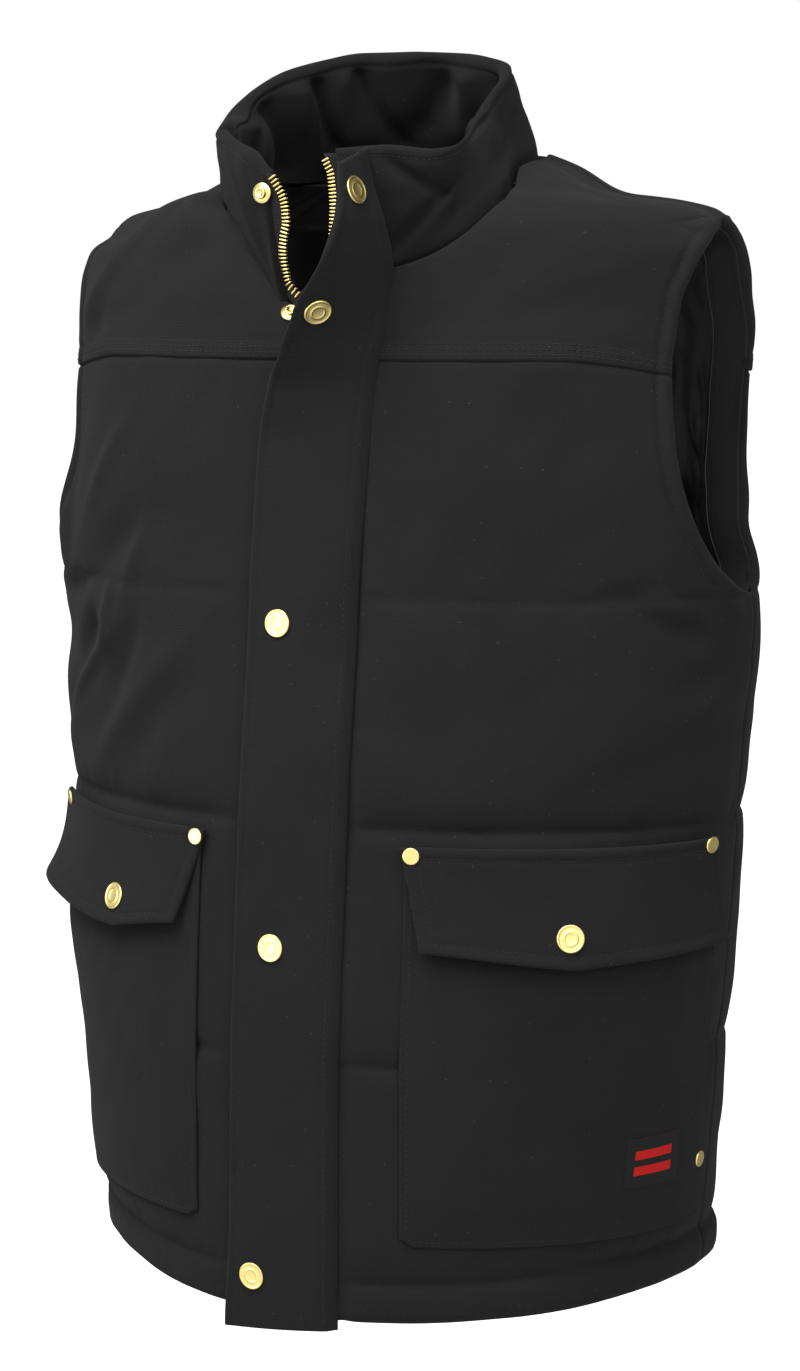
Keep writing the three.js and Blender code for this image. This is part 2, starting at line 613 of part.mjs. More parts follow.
function zipperTape(side) {
  const rows = openRows(side).filter((h, i) => (i + 1) % TAPE_EVERY === 0 && h < side.zipTop - 1);
  return zipperStrip(side, LIFT_GAP, ZIP.tape, ZIP.tapeThickness, [...closedRows, ...rows, side.zipTop]);
}

function zipperTeeth(side) {
  const open = openRows(side);
  const from = ZIP.tape + ZIP.gap;
  const reach = (h) => from + ZIP.teeth * (open.indexOf(h) % 2 === 0 ? ZIP_RUN.toothRoot : 1);
  return zipperStrip(side, from, reach, ZIP.teethThickness, [...closedRows, ...open]);
}

// Turned metal pieces stand on a point of the cloth along the direction given
function turned(profile, sides, point, direction) {
  const geometry = new THREE.LatheGeometry(profile.map(([r, y]) => new THREE.Vector2(r, y)), sides);
  geometry.applyQuaternion(new THREE.Quaternion().setFromUnitVectors(new THREE.Vector3(0, 1, 0), direction));
  return geometry.translate(point.x, point.y, point.z);
}

const domeProfile = ({ radius, height }) => [
  [0, 0], [radius * 0.94, 0], [radius, height * 0.35], [radius * 0.8, height * 0.85], [0, height],
];
const snapProfile = ({ radius, height }) => [
  [0, 0], [radius * 0.94, 0], [radius, height * 0.45], [radius * 0.84, height], [radius * 0.6, height * 0.72],
  [0, height * 0.8],
];
const studProfile = ({ radius, height }) => [
  [0, 0], [radius, 0], [radius, height * 0.3], [radius * 0.5, height * 0.4], [radius * 0.5, height],
  [0, height],
];

function studOnYoke({ x, h }) {
  const theta = thetaAt(x, h);
  return { point: cloth(theta, h), normal: outward(theta, h) };
}

function studOnCollar({ s, t }) {
  const along = collarPoint(s + 0.01, t, 0).sub(collarPoint(s - 0.01, t, 0));
  const up = collarPoint(s, t + 0.05, 0).sub(collarPoint(s, t - 0.05, 0));
  return { point: collarPoint(s, t, 0), normal: up.cross(along).normalize() };
}

// Pocket: a patch on the front, with round lower corners
function pocketPlace({ sign, reach }) {
  return (u, v) => {
    const outer = lerp(POCKET_SIDE.outerBottom, POCKET_SIDE.outerTop, v) * reach;
    const theta = lerp(POCKET_SIDE.inner, outer, u);
    const nearEdge = Math.max(0, 1 - (1 - Math.abs(2 * u - 1)) / POCKET.cornerShare);
    return [theta * sign, lerp(POCKET.bottom + POCKET.cornerRise * nearEdge, POCKET.top, v)];
  };
}

function pocket(side) {
  const corner = POCKET.cornerShare / 2;
  const us = [0, corner, ...steps(9).slice(1, -1), 1 - corner, 1];
  const base = POCKET.clearance;
  return laid(us, steps(7), pocketPlace(side), base + POCKET.thickness, base);
}

// Lower edge of the pocket flap, which comes to a point under its snap
function flapLow(u, { snap }) {
  return lerp(POCKET_FLAP.corner, POCKET_FLAP.point, Math.min(u / snap, (1 - u) / (1 - snap)));
}

// Pocket flap: hangs from its top seam and stands off towards its lower edge, most at the outer corner
function flapPlace(side) {
  const { sign, reach } = side;
  return (u, v) => {
    const low = flapLow(u, side);
    const inner = lerp(FLAP_SIDE.inner, FLAP_SIDE.innerLow, v);
    const outer = lerp(FLAP_SIDE.outer, FLAP_SIDE.outerLow, v) * reach;
    return [lerp(inner, outer, u) * sign, lerp(POCKET_FLAP.top, low, v)];
  };
}

const flapLift = (u, v) => lerp(FLAP_STAND.top, lerp(FLAP_STAND.inner, FLAP_STAND.outer, u), v * v);

function pocketFlap(side) {
  const lift = (extra) => (u, v) => flapLift(u, v) + extra;
  return laid(steps(10), steps(4), flapPlace(side), lift(POCKET_FLAP.thickness), lift(0));
}

// Metal on the flap, at a share across it and a height
const shareOnFlap = (theta) => (theta - FLAP_SIDE.inner) / (FLAP_SIDE.outer - FLAP_SIDE.inner);
function flapPoint(u, h, side) {
  const { sign } = side;
  const v = (POCKET_FLAP.top - h) / (POCKET_FLAP.top - flapLow(u, side));
  const at = (du, dv) => {
    const [angle, height] = flapPlace(side)(u + du, v + dv);
    return cloth(angle, height, flapLift(u + du, v + dv) + POCKET_FLAP.thickness);
  };
  const normal = at(0.02, 0).sub(at(-0.02, 0)).cross(at(0, -0.05).sub(at(0, 0.05))).normalize();
  if (normal.y > 0 || normal.x * sign < 0) normal.negate();
  return { point: at(0, 0).addScaledVector(normal, LIFT_GAP), normal };
}

function label() {
  const halfTurn = LABEL.width / 2 / Math.hypot(
    girth.half(LABEL.height) * Math.cos(LABEL.theta * DEGREE),
    girth.front(LABEL.height) * Math.sin(LABEL.theta * DEGREE),
  ) / DEGREE;
  const place = (u, v) => [
    LABEL.theta + lerp(-halfTurn, halfTurn, u), LABEL.height + lerp(-0.5, 0.5, v) * LABEL.tall];
  const base = POCKET.clearance + POCKET.thickness + LIFT_GAP;
  return laid(steps(3), steps(2), place, base + LABEL.thickness, base);
}

SIDES.forEach((side) => {
  add(`front_${side.name}`, frontPanel(side), canvas());
  add(`yoke_front_${side.name}`, frontYoke(side), canvas());
  add(`lining_front_${side.name}`, frontLining(side), satin());
  add(`armhole_facing_${side.name}`, armholeFacing(side), canvas());
  add(`pocket_${side.name}`, pocket(side), canvas());
  add(`pocket_flap_${side.name}`, pocketFlap(side), canvas());
  add(`zipper_tape_${side.name}`, zipperTape(side), tape());
  add(`zipper_teeth_${side.name}`, zipperTeeth(side), brass());

  FLAP_RIVETS.forEach((theta, i) => {
    const { point, normal } = flapPoint(shareOnFlap(theta), FLAP_RIVET_HEIGHT, side);
    add(`flap_rivet_${side.name}_${i + 1}`, turned(domeProfile(RIVET), RIVET.sides, point, normal), brass());
  });
  const spot = flapPoint(side.snap, FLAP_SNAP_HEIGHT, side);
  add(`flap_snap_${side.name}`, turned(snapProfile(SNAP), SNAP.sides, spot.point, spot.normal), brass());
  const rivetLift = POCKET.clearance + POCKET.thickness + LIFT_GAP;
  const rivetAngle = SIDE_RIVET.theta * side.sign * side.reach;
  add(`pocket_rivet_${side.name}`, turned(domeProfile(RIVET), RIVET.sides,
    cloth(rivetAngle, SIDE_RIVET.h, rivetLift), outward(rivetAngle, SIDE_RIVET.h)), brass());
});

add('back_panel', backPanel(), canvas());
add('yoke_back', backYoke(), canvas());
add('lining_back', backLining(), satin());
add('collar', collar(), canvas());
add('storm_flap', stormFlap(), canvas());
add('label', label(), woven());

STORM_SNAPS.forEach(({ h, share }, i) => {
  const normal = stormNormal(share, h);
  const point = stormPoint(share, h, STORM.thickness).addScaledVector(normal, STORM.snapGap);
  add(`storm_snap_${i + 1}`, turned(snapProfile(SNAP), SNAP.sides, point, normal), brass());
});

[studOnYoke(YOKE_STUD), studOnCollar(COLLAR_STUD)].forEach(({ point, normal }, i) => {
  const base = point.addScaledVector(normal, LIFT_GAP);
  add(`storm_stud_${i + 1}`, turned(studProfile(STUD), STUD.sides, base, normal), brass());
});

const slider = add('zipper_slider', new THREE.BoxGeometry(SLIDER.width, SLIDER.depth, SLIDER.tall), brass());
slider.position.set(0, frontDepth(0, SLIDER.h) - SLIDER.depth / 4, SLIDER.h - REST_HEIGHT);

export default vest;
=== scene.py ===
"""Looks of a padded canvas work vest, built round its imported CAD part.

Sizes are in millimetres in the row frame and become metres when a mesh is made. Heights h count up from
the hem at centre front, and angles theta run round the body from centre front to the wearer's left.
"""

import logging
import math
from collections.abc import Callable
from dataclasses import dataclass
from enum import Enum

import bpy
import numpy as np
from mathutils import Matrix


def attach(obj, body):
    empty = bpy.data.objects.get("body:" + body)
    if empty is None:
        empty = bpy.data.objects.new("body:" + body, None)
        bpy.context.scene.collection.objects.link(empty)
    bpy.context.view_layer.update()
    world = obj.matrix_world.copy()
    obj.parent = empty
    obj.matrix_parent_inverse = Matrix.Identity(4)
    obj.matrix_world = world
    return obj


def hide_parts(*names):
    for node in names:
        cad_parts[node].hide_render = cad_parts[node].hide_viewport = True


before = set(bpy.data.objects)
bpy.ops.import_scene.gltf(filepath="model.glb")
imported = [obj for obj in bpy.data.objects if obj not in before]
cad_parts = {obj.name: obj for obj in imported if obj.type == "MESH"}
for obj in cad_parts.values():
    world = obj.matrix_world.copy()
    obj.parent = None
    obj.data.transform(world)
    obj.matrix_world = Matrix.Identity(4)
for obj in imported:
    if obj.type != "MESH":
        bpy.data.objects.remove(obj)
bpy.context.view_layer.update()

Array = np.ndarray
Face = Callable[[Array, Array], Array]
LOG = logging.getLogger("vest")
MM = 0.001
REST = 612.0
RIM = 0.03
NO_TRIS = np.zeros((0, 3), int)


class Side(Enum):
    """Wearer's side, with the sign of its X."""

    LEFT = 1
    RIGHT = -1

    @property
    def word(self) -> str:
        """Name as it stands in the CAD nodes."""
        return self.name.lower()


class Slot(Enum):
    """Material slots of the record."""

    CANVAS = "canvas"
    SATIN = "lining_satin"
    BRASS = "brass"
    TAPE = "zipper_tape"
    LABEL = "label_weave"


def smooth(value: Array, low: float, high: float) -> Array:
    """Eases from 0 to 1 as value goes from low to high."""
    t = np.clip((value - low) / (high - low), 0, 1)
    return t * t * (3 - 2 * t)


def mix(a: Array | float, b: Array | float, t: Array | float) -> Array:
    """Straight blend from a to b."""
    return a + (b - a) * t


def rolled(distance: Array, radius: float) -> Array:
    """Drop of a round edge: largest on the edge, falling along a quarter circle to 0 at the radius."""
    t = np.clip(distance / radius + RIM, 0, 1)
    return 1 - np.sqrt(np.clip(1 - (1 - t) ** 2, 0, 1))


def bump(distance: Array, width: float) -> Array:
    """Bell of height 1 about distance 0."""
    return np.exp(-((distance / width) ** 2))


def unit(vectors: Array) -> Array:
    """Vectors of length 1 along the last axis."""
    return vectors / np.maximum(np.linalg.norm(vectors, axis=-1, keepdims=True), 1e-9)


def spaced(count: int, length: float, radius: float) -> Array:
    """Shares from 0 to 1 in even steps, with four close ones inside a rolled edge's radius at each end.

    Args:
        count: even steps between the two edges.
        length: length that the shares stand for.
        radius: radius of the rolled edge.

    Returns:
        Rising shares from 0 to 1.
    """
    near = radius / length * (1 - np.cos(np.linspace(0, np.pi / 2, 5)))
    return np.concatenate([near[:-1], np.linspace(near[-1], 1 - near[-1], count), 1 - near[:-1][::-1]])


def ripples(a: Array, b: Array, wave: float, seed: int, count: int = 9) -> Array:
    """Soft uneven waves of about unit height: the sum of plane sine waves of random turn, phase and length.

    Args:
        a: first coordinate in millimetres.
        b: second coordinate in millimetres.
        wave: middle wavelength in millimetres.
        seed: seed of the turns and phases.
        count: number of waves in the sum.

    Returns:
        Height at each place.
    """
    rng = np.random.default_rng(seed)
    turn, phase = rng.uniform(0, 2 * np.pi, (2, count))
    pace = 2 * np.pi / (wave * rng.uniform(0.75, 1.35, count))
    along = np.multiply.outer(np.asarray(a), np.cos(turn)) + np.multiply.outer(np.asarray(b), np.sin(turn))
    return np.sin(along * pace + phase).sum(-1) / math.sqrt(count)


@dataclass(frozen=True)
class Curve:
    """Smooth curve through knots that never overshoots them: a cubic whose slopes are harmonic means."""

    x: tuple[float, ...]
    y: tuple[float, ...]

    def __call__(self, at: Array | float) -> Array:
        """Value of the curve at each place."""
        x, y = np.array(self.x), np.array(self.y)
        slope = np.diff(y) / np.diff(x)
        product, total = slope[:-1] * slope[1:], slope[:-1] + slope[1:]
        inner = np.where(product > 0, 2 * product / np.where(product > 0, total, 1), 0)
        tangent = np.concatenate([slope[:1], inner, slope[-1:]])
        v = np.clip(at, x[0], x[-1])
        i = np.clip(np.searchsorted(x, v) - 1, 0, len(x) - 2)
        span = x[i + 1] - x[i]
        t = (v - x[i]) / span
        s = 1 - t
        ends = (1 + 2 * t) * s * s * y[i] + t * t * (3 - 2 * t) * y[i + 1]
        return ends + t * s * span * (s * tangent[i] - t * tangent[i + 1])


def curves(rows: tuple[tuple[float, ...], ...]) -> list[Curve]:
    """One curve for each further column of a table, over its first column."""
    columns = list(zip(*rows))
    return [Curve(columns[0], column) for column in columns[1:]]


# Body: height, half width, depth of the front and of the back, and Y of the middle line
HALF, FRONT, BACK, MIDDLE = curves((
    (0, 182, 142, 132, 0), (70, 188, 143, 133, 0), (150, 194.5, 142, 132, 0), (230, 201, 136, 127, 0),
    (310, 205.5, 130, 122, 0), (395, 212, 121, 114, 0), (455, 213, 120, 111, 2), (525, 206, 118, 104, 5),
    (560, 202, 112, 97, 8), (585, 198, 111, 86, 13), (600, 191, 113, 76, 19), (611, 178, 111, 64, 24),
    (620, 139, 106, 53, 26), (630, 99, 95, 45, 22), (644, 62, 74, 37, 14),
))
# Armhole: height, and degrees from the side to its front edge and to its back edge
ARM_FRONT, ARM_BACK = curves((
    (403, 0, 0), (406.5, 6.5, 4.8), (411, 10.5, 8), (420, 16.2, 11.2), (430, 19.8, 13.5), (442, 23.1, 16),
    (455, 25.6, 18), (470, 27.4, 19.7), (485, 28.2, 21), (505, 28.2, 22.1), (525, 27.7, 22.5),
    (545, 26.4, 21.9), (560, 25, 21), (575, 21.6, 18.4), (585, 18.5, 16), (600, 10.8, 10), (608, 0, 0),
))
# Neck seam: degrees from centre front, and its height on the left and on the right
NECK_LEFT, NECK_RIGHT = curves((
    (0, 569, 549), (6, 572, 560), (10, 575.5, 575), (14.3, 579.3, 591), (18, 584, 601), (23, 593.5, 610),
    (31.5, 611.7, 618), (45, 622.6, 624), (64, 632.3, 632), (90, 637, 637),
))
# Front edges: height, and X of the left edge and of the right one
EDGE_LEFT, EDGE_RIGHT = curves((
    (0, 6, -6), (545, 6, -6), (556, 9, -11), (563, 12, -18), (571, 14.5, -25), (584, 14.6, -26.5),
    (602, 14.2, -24.5), (616, 13.8, -25.5), (628, 12.5, -31), (640, 10.8, -32),
))
ARMPIT, SHOULDER_TIP, NECK_POINT, NECK_BACK = 403.0, 608.0, 637.0, 641.0
# Wall of the padded cloth, and the radius that turns its angles into lengths
WALL, BODY_RADIUS = 7.0, 165.0
# Level and dip of the yoke seam, distance of the sewn row beside the armhole, and one past every edge
YOKE_LEVEL, YOKE_DIP, ARM_ROW, FAR = 531.0, 8.0, 9.0, 99.0


def front_edge(side: Side) -> Curve:
    """X of a front's edge at each height."""
    return EDGE_LEFT if side is Side.LEFT else EDGE_RIGHT


def neck(theta: Array) -> Array:
    """Height of the neck seam at an angle from -180 to 180, with the wearer's right below 0."""
    turned = np.abs(theta)
    front = np.where(theta < 0, NECK_RIGHT(turned), NECK_LEFT(turned))
    back = mix(NECK_POINT, NECK_BACK, np.sin(np.radians(np.clip(turned, 90, 180) - 90)))
    return np.where(turned <= 90, front, back)


def hem(theta: Array) -> Array:
    """Height of the hem: lowest at centre front and back, and higher at the sides."""
    return 8 + 13 * np.sin(np.radians(theta)) ** 2


def yoke_seam(theta: Array) -> Array:
    """Height of the yoke seam: level, with a dip towards the armholes."""
    from_middle = np.degrees(np.arcsin(np.abs(np.sin(np.radians(theta)))))
    return YOKE_LEVEL - YOKE_DIP * smooth(from_middle, 40, 66)


@dataclass(frozen=True)
class Fold:
    """Soft fold in the cloth: its middle, lean, half length, half width and rise."""

    theta: float
    h: float
    lean: float
    length: float
    width: float
    rise: float

    def height(self, theta: Array, h: Array) -> Array:
        """Bell across the fold times a bell along it."""
        across = np.radians(theta - self.theta) * BODY_RADIUS
        up = h - self.h
        c, s = math.cos(math.radians(self.lean)), math.sin(math.radians(self.lean))
        return self.rise * bump(across * c + up * s, self.length) * bump(up * c - across * s, self.width)


# Wide bends that bring the side outlines to their place
BENDS = (
    Fold(108, 460, 0, 70, 36, -7.4), Fold(108, 543, 0, 45, 30, 6.0), Fold(107, 25, 0, 60, 35, 4.5),
    Fold(-72, 22, 0, 60, 26, -4.4), Fold(-72, 110, 0, 60, 40, -3.2), Fold(-66, 482, 0, 40, 32, -4.4),
    Fold(-72, 368, 0, 50, 21, -4.4), Fold(-72, 205, 0, 50, 22, 2.6), Fold(-72, 598, 0, 40, 9, -5.2),
    Fold(-72, 563, 0, 40, 14, 2.6), Fold(108, 436, 0, 40, 14, -3.2),
)


def sag(theta: Array, h: Array) -> Array:
    """Drop of the shoulders, with a dip beside the collar on the left and a raised hem on the right."""
    turned = np.abs(theta)
    level = smooth(h, 582, 602) * (1 - smooth(h, 618, 631)) * smooth(turned, 35, 60)
    dip = 5.2 * bump(h - 624.5, 4.5) * smooth(turned, 60, 82)
    raised = 4.5 * bump(turned - 46, 12) * smooth(h, 70, 10)
    return np.where(theta < 0, 6.5 * level - raised, 4.5 * level + dip) * (1 - smooth(turned, 120, 150))


def ring(theta: Array, h: Array) -> Array:
    """Outer cloth: at each height two half ellipses that meet at the sides, set about the middle line.

    Wide bends push it in or out, and the shoulders sag a little.

    Args:
        theta: angle round the body.
        h: height.

    Returns:
        Points of the cloth.
    """
    t = np.radians(theta)
    depth = np.where(np.cos(t) > 0, FRONT(h), BACK(h))
    turned = np.mod(theta + 180, 360) - 180
    bent = sum(bend.height(turned, h) for bend in BENDS)
    return np.stack([(HALF(h) + bent) * np.sin(t), MIDDLE(h) - (depth + bent) * np.cos(t),
                     h - REST - sag(turned, h)], -1)


def outward(theta: Array, h: Array) -> Array:
    """Direction out of the cloth: the cross product of its run round the body and its run upwards."""
    around = ring(theta + 0.5, h) - ring(theta - 0.5, h)
    up = ring(theta, h + 1) - ring(theta, h - 1)
    return unit(np.cross(around, up))


def on_body(theta: Array, h: Array, lift: Array | float) -> Array:
    """Point at a lift from the outer cloth."""
    return ring(theta, h) + outward(theta, h) * np.broadcast_to(lift, np.shape(theta))[..., None]


def signed(theta: Array) -> Array:
    """The same angle from -180 to 180, with the wearer's right below 0."""
    return np.where(theta > 180, theta - 360, theta)


def off_front(theta: Array) -> Array:
    """Angle from centre front, from 0 to 180, whichever way it runs."""
    return 180 - np.abs(180 - np.abs(theta))


def around_pace(theta: Array, h: Array) -> Array:
    """Millimetres along the cloth for one degree round the body."""
    t = np.radians(theta)
    depth = np.where(np.cos(t) > 0, FRONT(h), BACK(h))
    return np.radians(np.hypot(HALF(h) * np.cos(t), depth * np.sin(t)))


def angle_at(x: Array, h: Array) -> Array:
    """Angle of the front cloth at a place across the body."""
    return np.degrees(np.arcsin(np.clip(x / HALF(h), -1, 1)))


def from_edge(theta: Array, h: Array, edge: Callable[[Array], Array]) -> Array:
    """Distance along the cloth to an edge given as an angle at each height, less where the edge leans."""
    pace = around_pace(theta, h)
    lean = (edge(h + 1) - edge(h - 1)) / 2 * pace
    return np.abs(edge(h) - theta) * pace / np.sqrt(1 + lean**2)


def coons(bottom: Array, top: Array, left: Array, right: Array, u: Array, v: Array) -> Array:
    """Patch blended from four edges in a plane: the two ruled patches less the one through the corners.

    Args:
        bottom: points along u at v = 0, with shape (u, 2).
        top: points along u at v = 1.
        left: points along v at u = 0, with shape (v, 2).
        right: points along v at u = 1.
        u: shares along the bottom.
        v: shares along the sides.

    Returns:
        Points with shape (u, v, 2).
    """
    uu, vv = u[:, None, None], v[None, :, None]
    ruled = mix(bottom[:, None], top[:, None], vv) + mix(left[None], right[None], uu)
    corners = mix(mix(bottom[0], bottom[-1], uu), mix(top[0], top[-1], uu), vv)
    return ruled - corners


@dataclass
class Part:
    """Arrays of a mesh: points, faces of four and of three sides, and a flat place for each point."""

    points: Array
    quads: Array
    flat: Array
    tris: Array

    def turned_out(self) -> "Part":
        """The same arrays with the faces outwards, found from the sign of the volume that they enclose."""
        fans = [self.quads[:, [0, 1, 2]], self.quads[:, [0, 2, 3]], self.tris]
        a, b, c = np.moveaxis((self.points - self.points.mean(0))[np.concatenate(fans)], 1, 0)
        if (a * np.cross(b, c)).sum() > 0:
            return self
        return Part(self.points, self.quads[:, ::-1], self.flat, self.tris[:, ::-1])


def grid_quads(columns: int, rows: int, looped: bool = False) -> Array:
    """Faces of a point grid walked column by column; a looped grid joins its last column to its first."""
    index = np.arange(columns * rows).reshape(columns, rows)
    if looped:
        index = np.concatenate([index, index[:1]])
    a, b, c, d = index[:-1, :-1], index[1:, :-1], index[1:, 1:], index[:-1, 1:]
    return np.stack([a, b, c, d], -1).reshape(-1, 4)


def borders(columns: int, rows: int, looped: bool) -> list[Array]:
    """Closed loops of points round a grid's border, each walked as its faces walk it."""
    index = np.arange(columns * rows).reshape(columns, rows)
    if looped:
        return [index[:, 0], index[::-1, -1]]
    return [np.concatenate([index[:-1, 0], index[-1, :-1], index[:0:-1, -1], index[0, :0:-1]])]


def rim(fine: Array, coarse: Array) -> Array:
    """Triangles that join two border loops, the first with a whole number of points to each of the other."""
    step = len(fine) // len(coarse)
    i, j = np.arange(len(fine)), np.arange(len(coarse))
    fans = np.stack([coarse[i // step], np.roll(fine, -1), fine], -1)
    links = np.stack([coarse, np.roll(coarse, -1), np.roll(fine[j * step], -1)], -1)
    return np.concatenate([fans, links])


def flat_places(points: Array) -> Array:
    """Flat place of each grid point: the lengths run along its row and its column, in metres."""
    u = np.cumsum(np.linalg.norm(np.diff(points, axis=0, prepend=points[:1]), axis=-1), axis=0)
    v = np.cumsum(np.linalg.norm(np.diff(points, axis=1, prepend=points[:, :1]), axis=-1), axis=1)
    return np.stack([u, v], -1) * MM


def cover(outer: Array, inner: Array, looped: bool = False, flat: Array | None = None) -> Part:
    """Closed piece from an outer point grid, an inner one of the same or wider steps, and the rim between.

    Args:
        outer: points of the outer face, with shape (columns, rows, 3).
        inner: points of the inner face.
        looped: whether the last column joins the first.
        flat: flat places of the outer grid, where they aren't its own lengths.

    Returns:
        The piece's arrays.
    """
    first = outer.shape[0] * outer.shape[1]
    quads = [grid_quads(*outer.shape[:2], looped), grid_quads(*inner.shape[:2], looped)[:, ::-1] + first]
    loops = zip(borders(*outer.shape[:2], looped), borders(*inner.shape[:2], looped))
    tris = [rim(fine, coarse + first) for fine, coarse in loops]
    places = [flat_places(outer) if flat is None else flat, flat_places(inner)]
    return Part(np.concatenate([outer.reshape(-1, 3), inner.reshape(-1, 3)]), np.concatenate(quads),
                np.concatenate([place.reshape(-1, 2) for place in places]), np.concatenate(tris))


def merged(parts: list[Part]) -> Part:
    """Several bodies as one mesh's arrays."""
    starts = np.cumsum([0] + [len(part.points) for part in parts[:-1]])
    quads = np.concatenate([part.quads + start for part, start in zip(parts, starts)])
    tris = np.concatenate([part.tris + start for part, start in zip(parts, starts)])
    points = np.concatenate([part.points for part in parts])
    return Part(points, quads, np.concatenate([part.flat for part in parts]), tris)


def prisms(middle: Array, axes: tuple[Array, ...], offsets: tuple[Array, ...], caps: Array) -> Part:
    """Copies of one small closed prism, each turned to its own three axes.

    Args:
        middle: middle of each copy.
        axes: three directions of each copy.
        offsets: offset along each direction, with shape (rings, corners).
        caps: faces of the first ring by corner; they point outwards if walked as the corners run.

    Returns:
        The copies' arrays.
    """
    points = middle[:, None, None]
    for way, offset in zip(axes, offsets):
        points = points + way[:, None, None] * offset[..., None]
    rings, corners = offsets[0].shape
    tube = np.arange(rings * corners).reshape(rings, corners)
    walls = np.stack([tube[:-1], tube[1:], np.roll(tube[1:], -1, 1), np.roll(tube[:-1], -1, 1)], -1)
    one = np.concatenate([walls.reshape(-1, 4), caps, caps[:, ::-1] + tube[-1, 0]])
    quads = (one[None] + tube.size * np.arange(len(middle))[:, None, None]).reshape(-1, 4)
    return Part(points.reshape(-1, 3), quads, points.reshape(-1, 3)[:, :2] * MM, NO_TRIS)


def lay(name: str, part: Part, finish: "Finish", *nodes: str) -> bpy.types.Object:
    """Puts a piece into the scene, dressed, riding on the vest and standing for its CAD nodes.

    Args:
        name: name of the piece.
        part: its arrays in millimetres.
        finish: its finish.
        nodes: CAD nodes that it stands for.

    Returns:
        The piece's object.
    """
    part = part.turned_out()
    name = f"{name}_{finish.slot.name.lower()}" if nodes else name
    mesh = bpy.data.meshes.new(name)
    fours, threes = len(part.quads), len(part.tris)
    corners = np.concatenate([part.quads.ravel(), part.tris.ravel()])
    mesh.vertices.add(len(part.points))
    mesh.loops.add(len(corners))
    mesh.polygons.add(fours + threes)
    mesh.vertices.foreach_set("co", (part.points * MM).ravel())
    mesh.loops.foreach_set("vertex_index", corners)
    starts = np.concatenate([np.arange(fours) * 4, fours * 4 + np.arange(threes) * 3])
    mesh.polygons.foreach_set("loop_start", starts)
    mesh.polygons.foreach_set("use_smooth", np.ones(fours + threes, bool))
    mesh.update(calc_edges=True)
    mesh.uv_layers.new(name="cut").data.foreach_set("uv", part.flat[corners].ravel())
    mesh.materials.append(finish.material())
    piece = bpy.data.objects.new(name, mesh)
    bpy.context.scene.collection.objects.link(piece)
    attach(piece, "root")
    if nodes:
        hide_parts(*nodes)
    LOG.info("%s: %d faces", name, fours + threes)
    return piece


class Nodes:
    """Short way to add and link the nodes of one tree."""

    def __init__(self, tree: bpy.types.NodeTree) -> None:
        """Takes the tree as it is."""
        self.tree = tree

    def add(self, kind: str, inputs: dict[str | int, object], **settings: object) -> bpy.types.Node:
        """Adds a node; an input that is a socket is linked, and any other is set.

        Args:
            kind: node type.
            inputs: values or sockets by input name or number.
            settings: attributes of the node.

        Returns:
            The new node.
        """
        node = self.tree.nodes.new(kind)
        for key, value in settings.items():
            setattr(node, key, value)
        for key, value in inputs.items():
            if isinstance(value, bpy.types.NodeSocket):
                self.tree.links.new(value, node.inputs[key])
            else:
                node.inputs[key].default_value = value
        return node

    def math(self, operation: str, a: object, b: object) -> bpy.types.NodeSocket:
        """Result of one sum on two values or sockets."""
        return self.add("ShaderNodeMath", {0: a, 1: b}, operation=operation).outputs[0]


class Shader(Nodes):
    """Nodes of one material round its plain shader."""

    def __init__(self, name: str) -> None:
        """Starts a material with its plain shader."""
        self.material = bpy.data.materials.new(name)
        self.material.use_nodes = True
        super().__init__(self.material.node_tree)
        self.base = self.tree.nodes["Principled BSDF"]

    def set(self, **values: object) -> None:
        """Sets the shader's own sockets, whose names have spaces for underscores."""
        for key, value in values.items():
            self.base.inputs[key.replace("_", " ")].default_value = value

    def places(self) -> bpy.types.NodeSocket:
        """Flat places of the piece, from its own map."""
        return self.add("ShaderNodeUVMap", {}, uv_map="cut").outputs["UV"]

    def scaled(self, source: bpy.types.NodeSocket, scale: tuple[float, float, float]) -> bpy.types.NodeSocket:
        """Coordinates stretched along each axis."""
        return self.add("ShaderNodeMapping", {"Vector": source, "Scale": scale}).outputs["Vector"]

    def noise(self, source: bpy.types.NodeSocket, scale: float, detail: float = 2) -> bpy.types.NodeSocket:
        """Value of soft noise."""
        node = self.add("ShaderNodeTexNoise", {"Vector": source, "Scale": scale, "Detail": detail})
        return node.outputs[0]

    def blend(self, share: object, a: tuple, b: tuple) -> bpy.types.NodeSocket:
        """Colour between two by a share."""
        node = self.add("ShaderNodeMix", {0: share, 6: a, 7: b}, data_type="RGBA")
        return node.outputs[2]

    def wire(self, source: bpy.types.NodeSocket, key: str) -> None:
        """Links a socket to the shader."""
        self.tree.links.new(source, self.base.inputs[key])

    def raise_by(self, height: bpy.types.NodeSocket, strength: float, distance: float) -> None:
        """Raises the surface in shading by a height socket."""
        node = self.add("ShaderNodeBump", {"Height": height, "Strength": strength, "Distance": distance})
        self.wire(node.outputs[0], "Normal")


def grey(value: float, warm: float = 0.0) -> tuple[float, float, float, float]:
    """Near-grey colour, a little warmer or cooler."""
    return (value * (1 + warm), value, value * (1 - warm), 1.0)


@dataclass(frozen=True)
class Finish:
    """A surface finish, made once as a material and shared by its pieces."""

    name: str
    slot: Slot

    def material(self) -> bpy.types.Material:
        """The finish's material, made when first asked for."""
        found = bpy.data.materials.get(self.name)
        if found:
            return found
        shader = Shader(self.name)
        self.paint(shader)
        return shader.material

    def paint(self, shader: Shader) -> None:
        """Sets up the nodes of the finish."""
        raise NotImplementedError


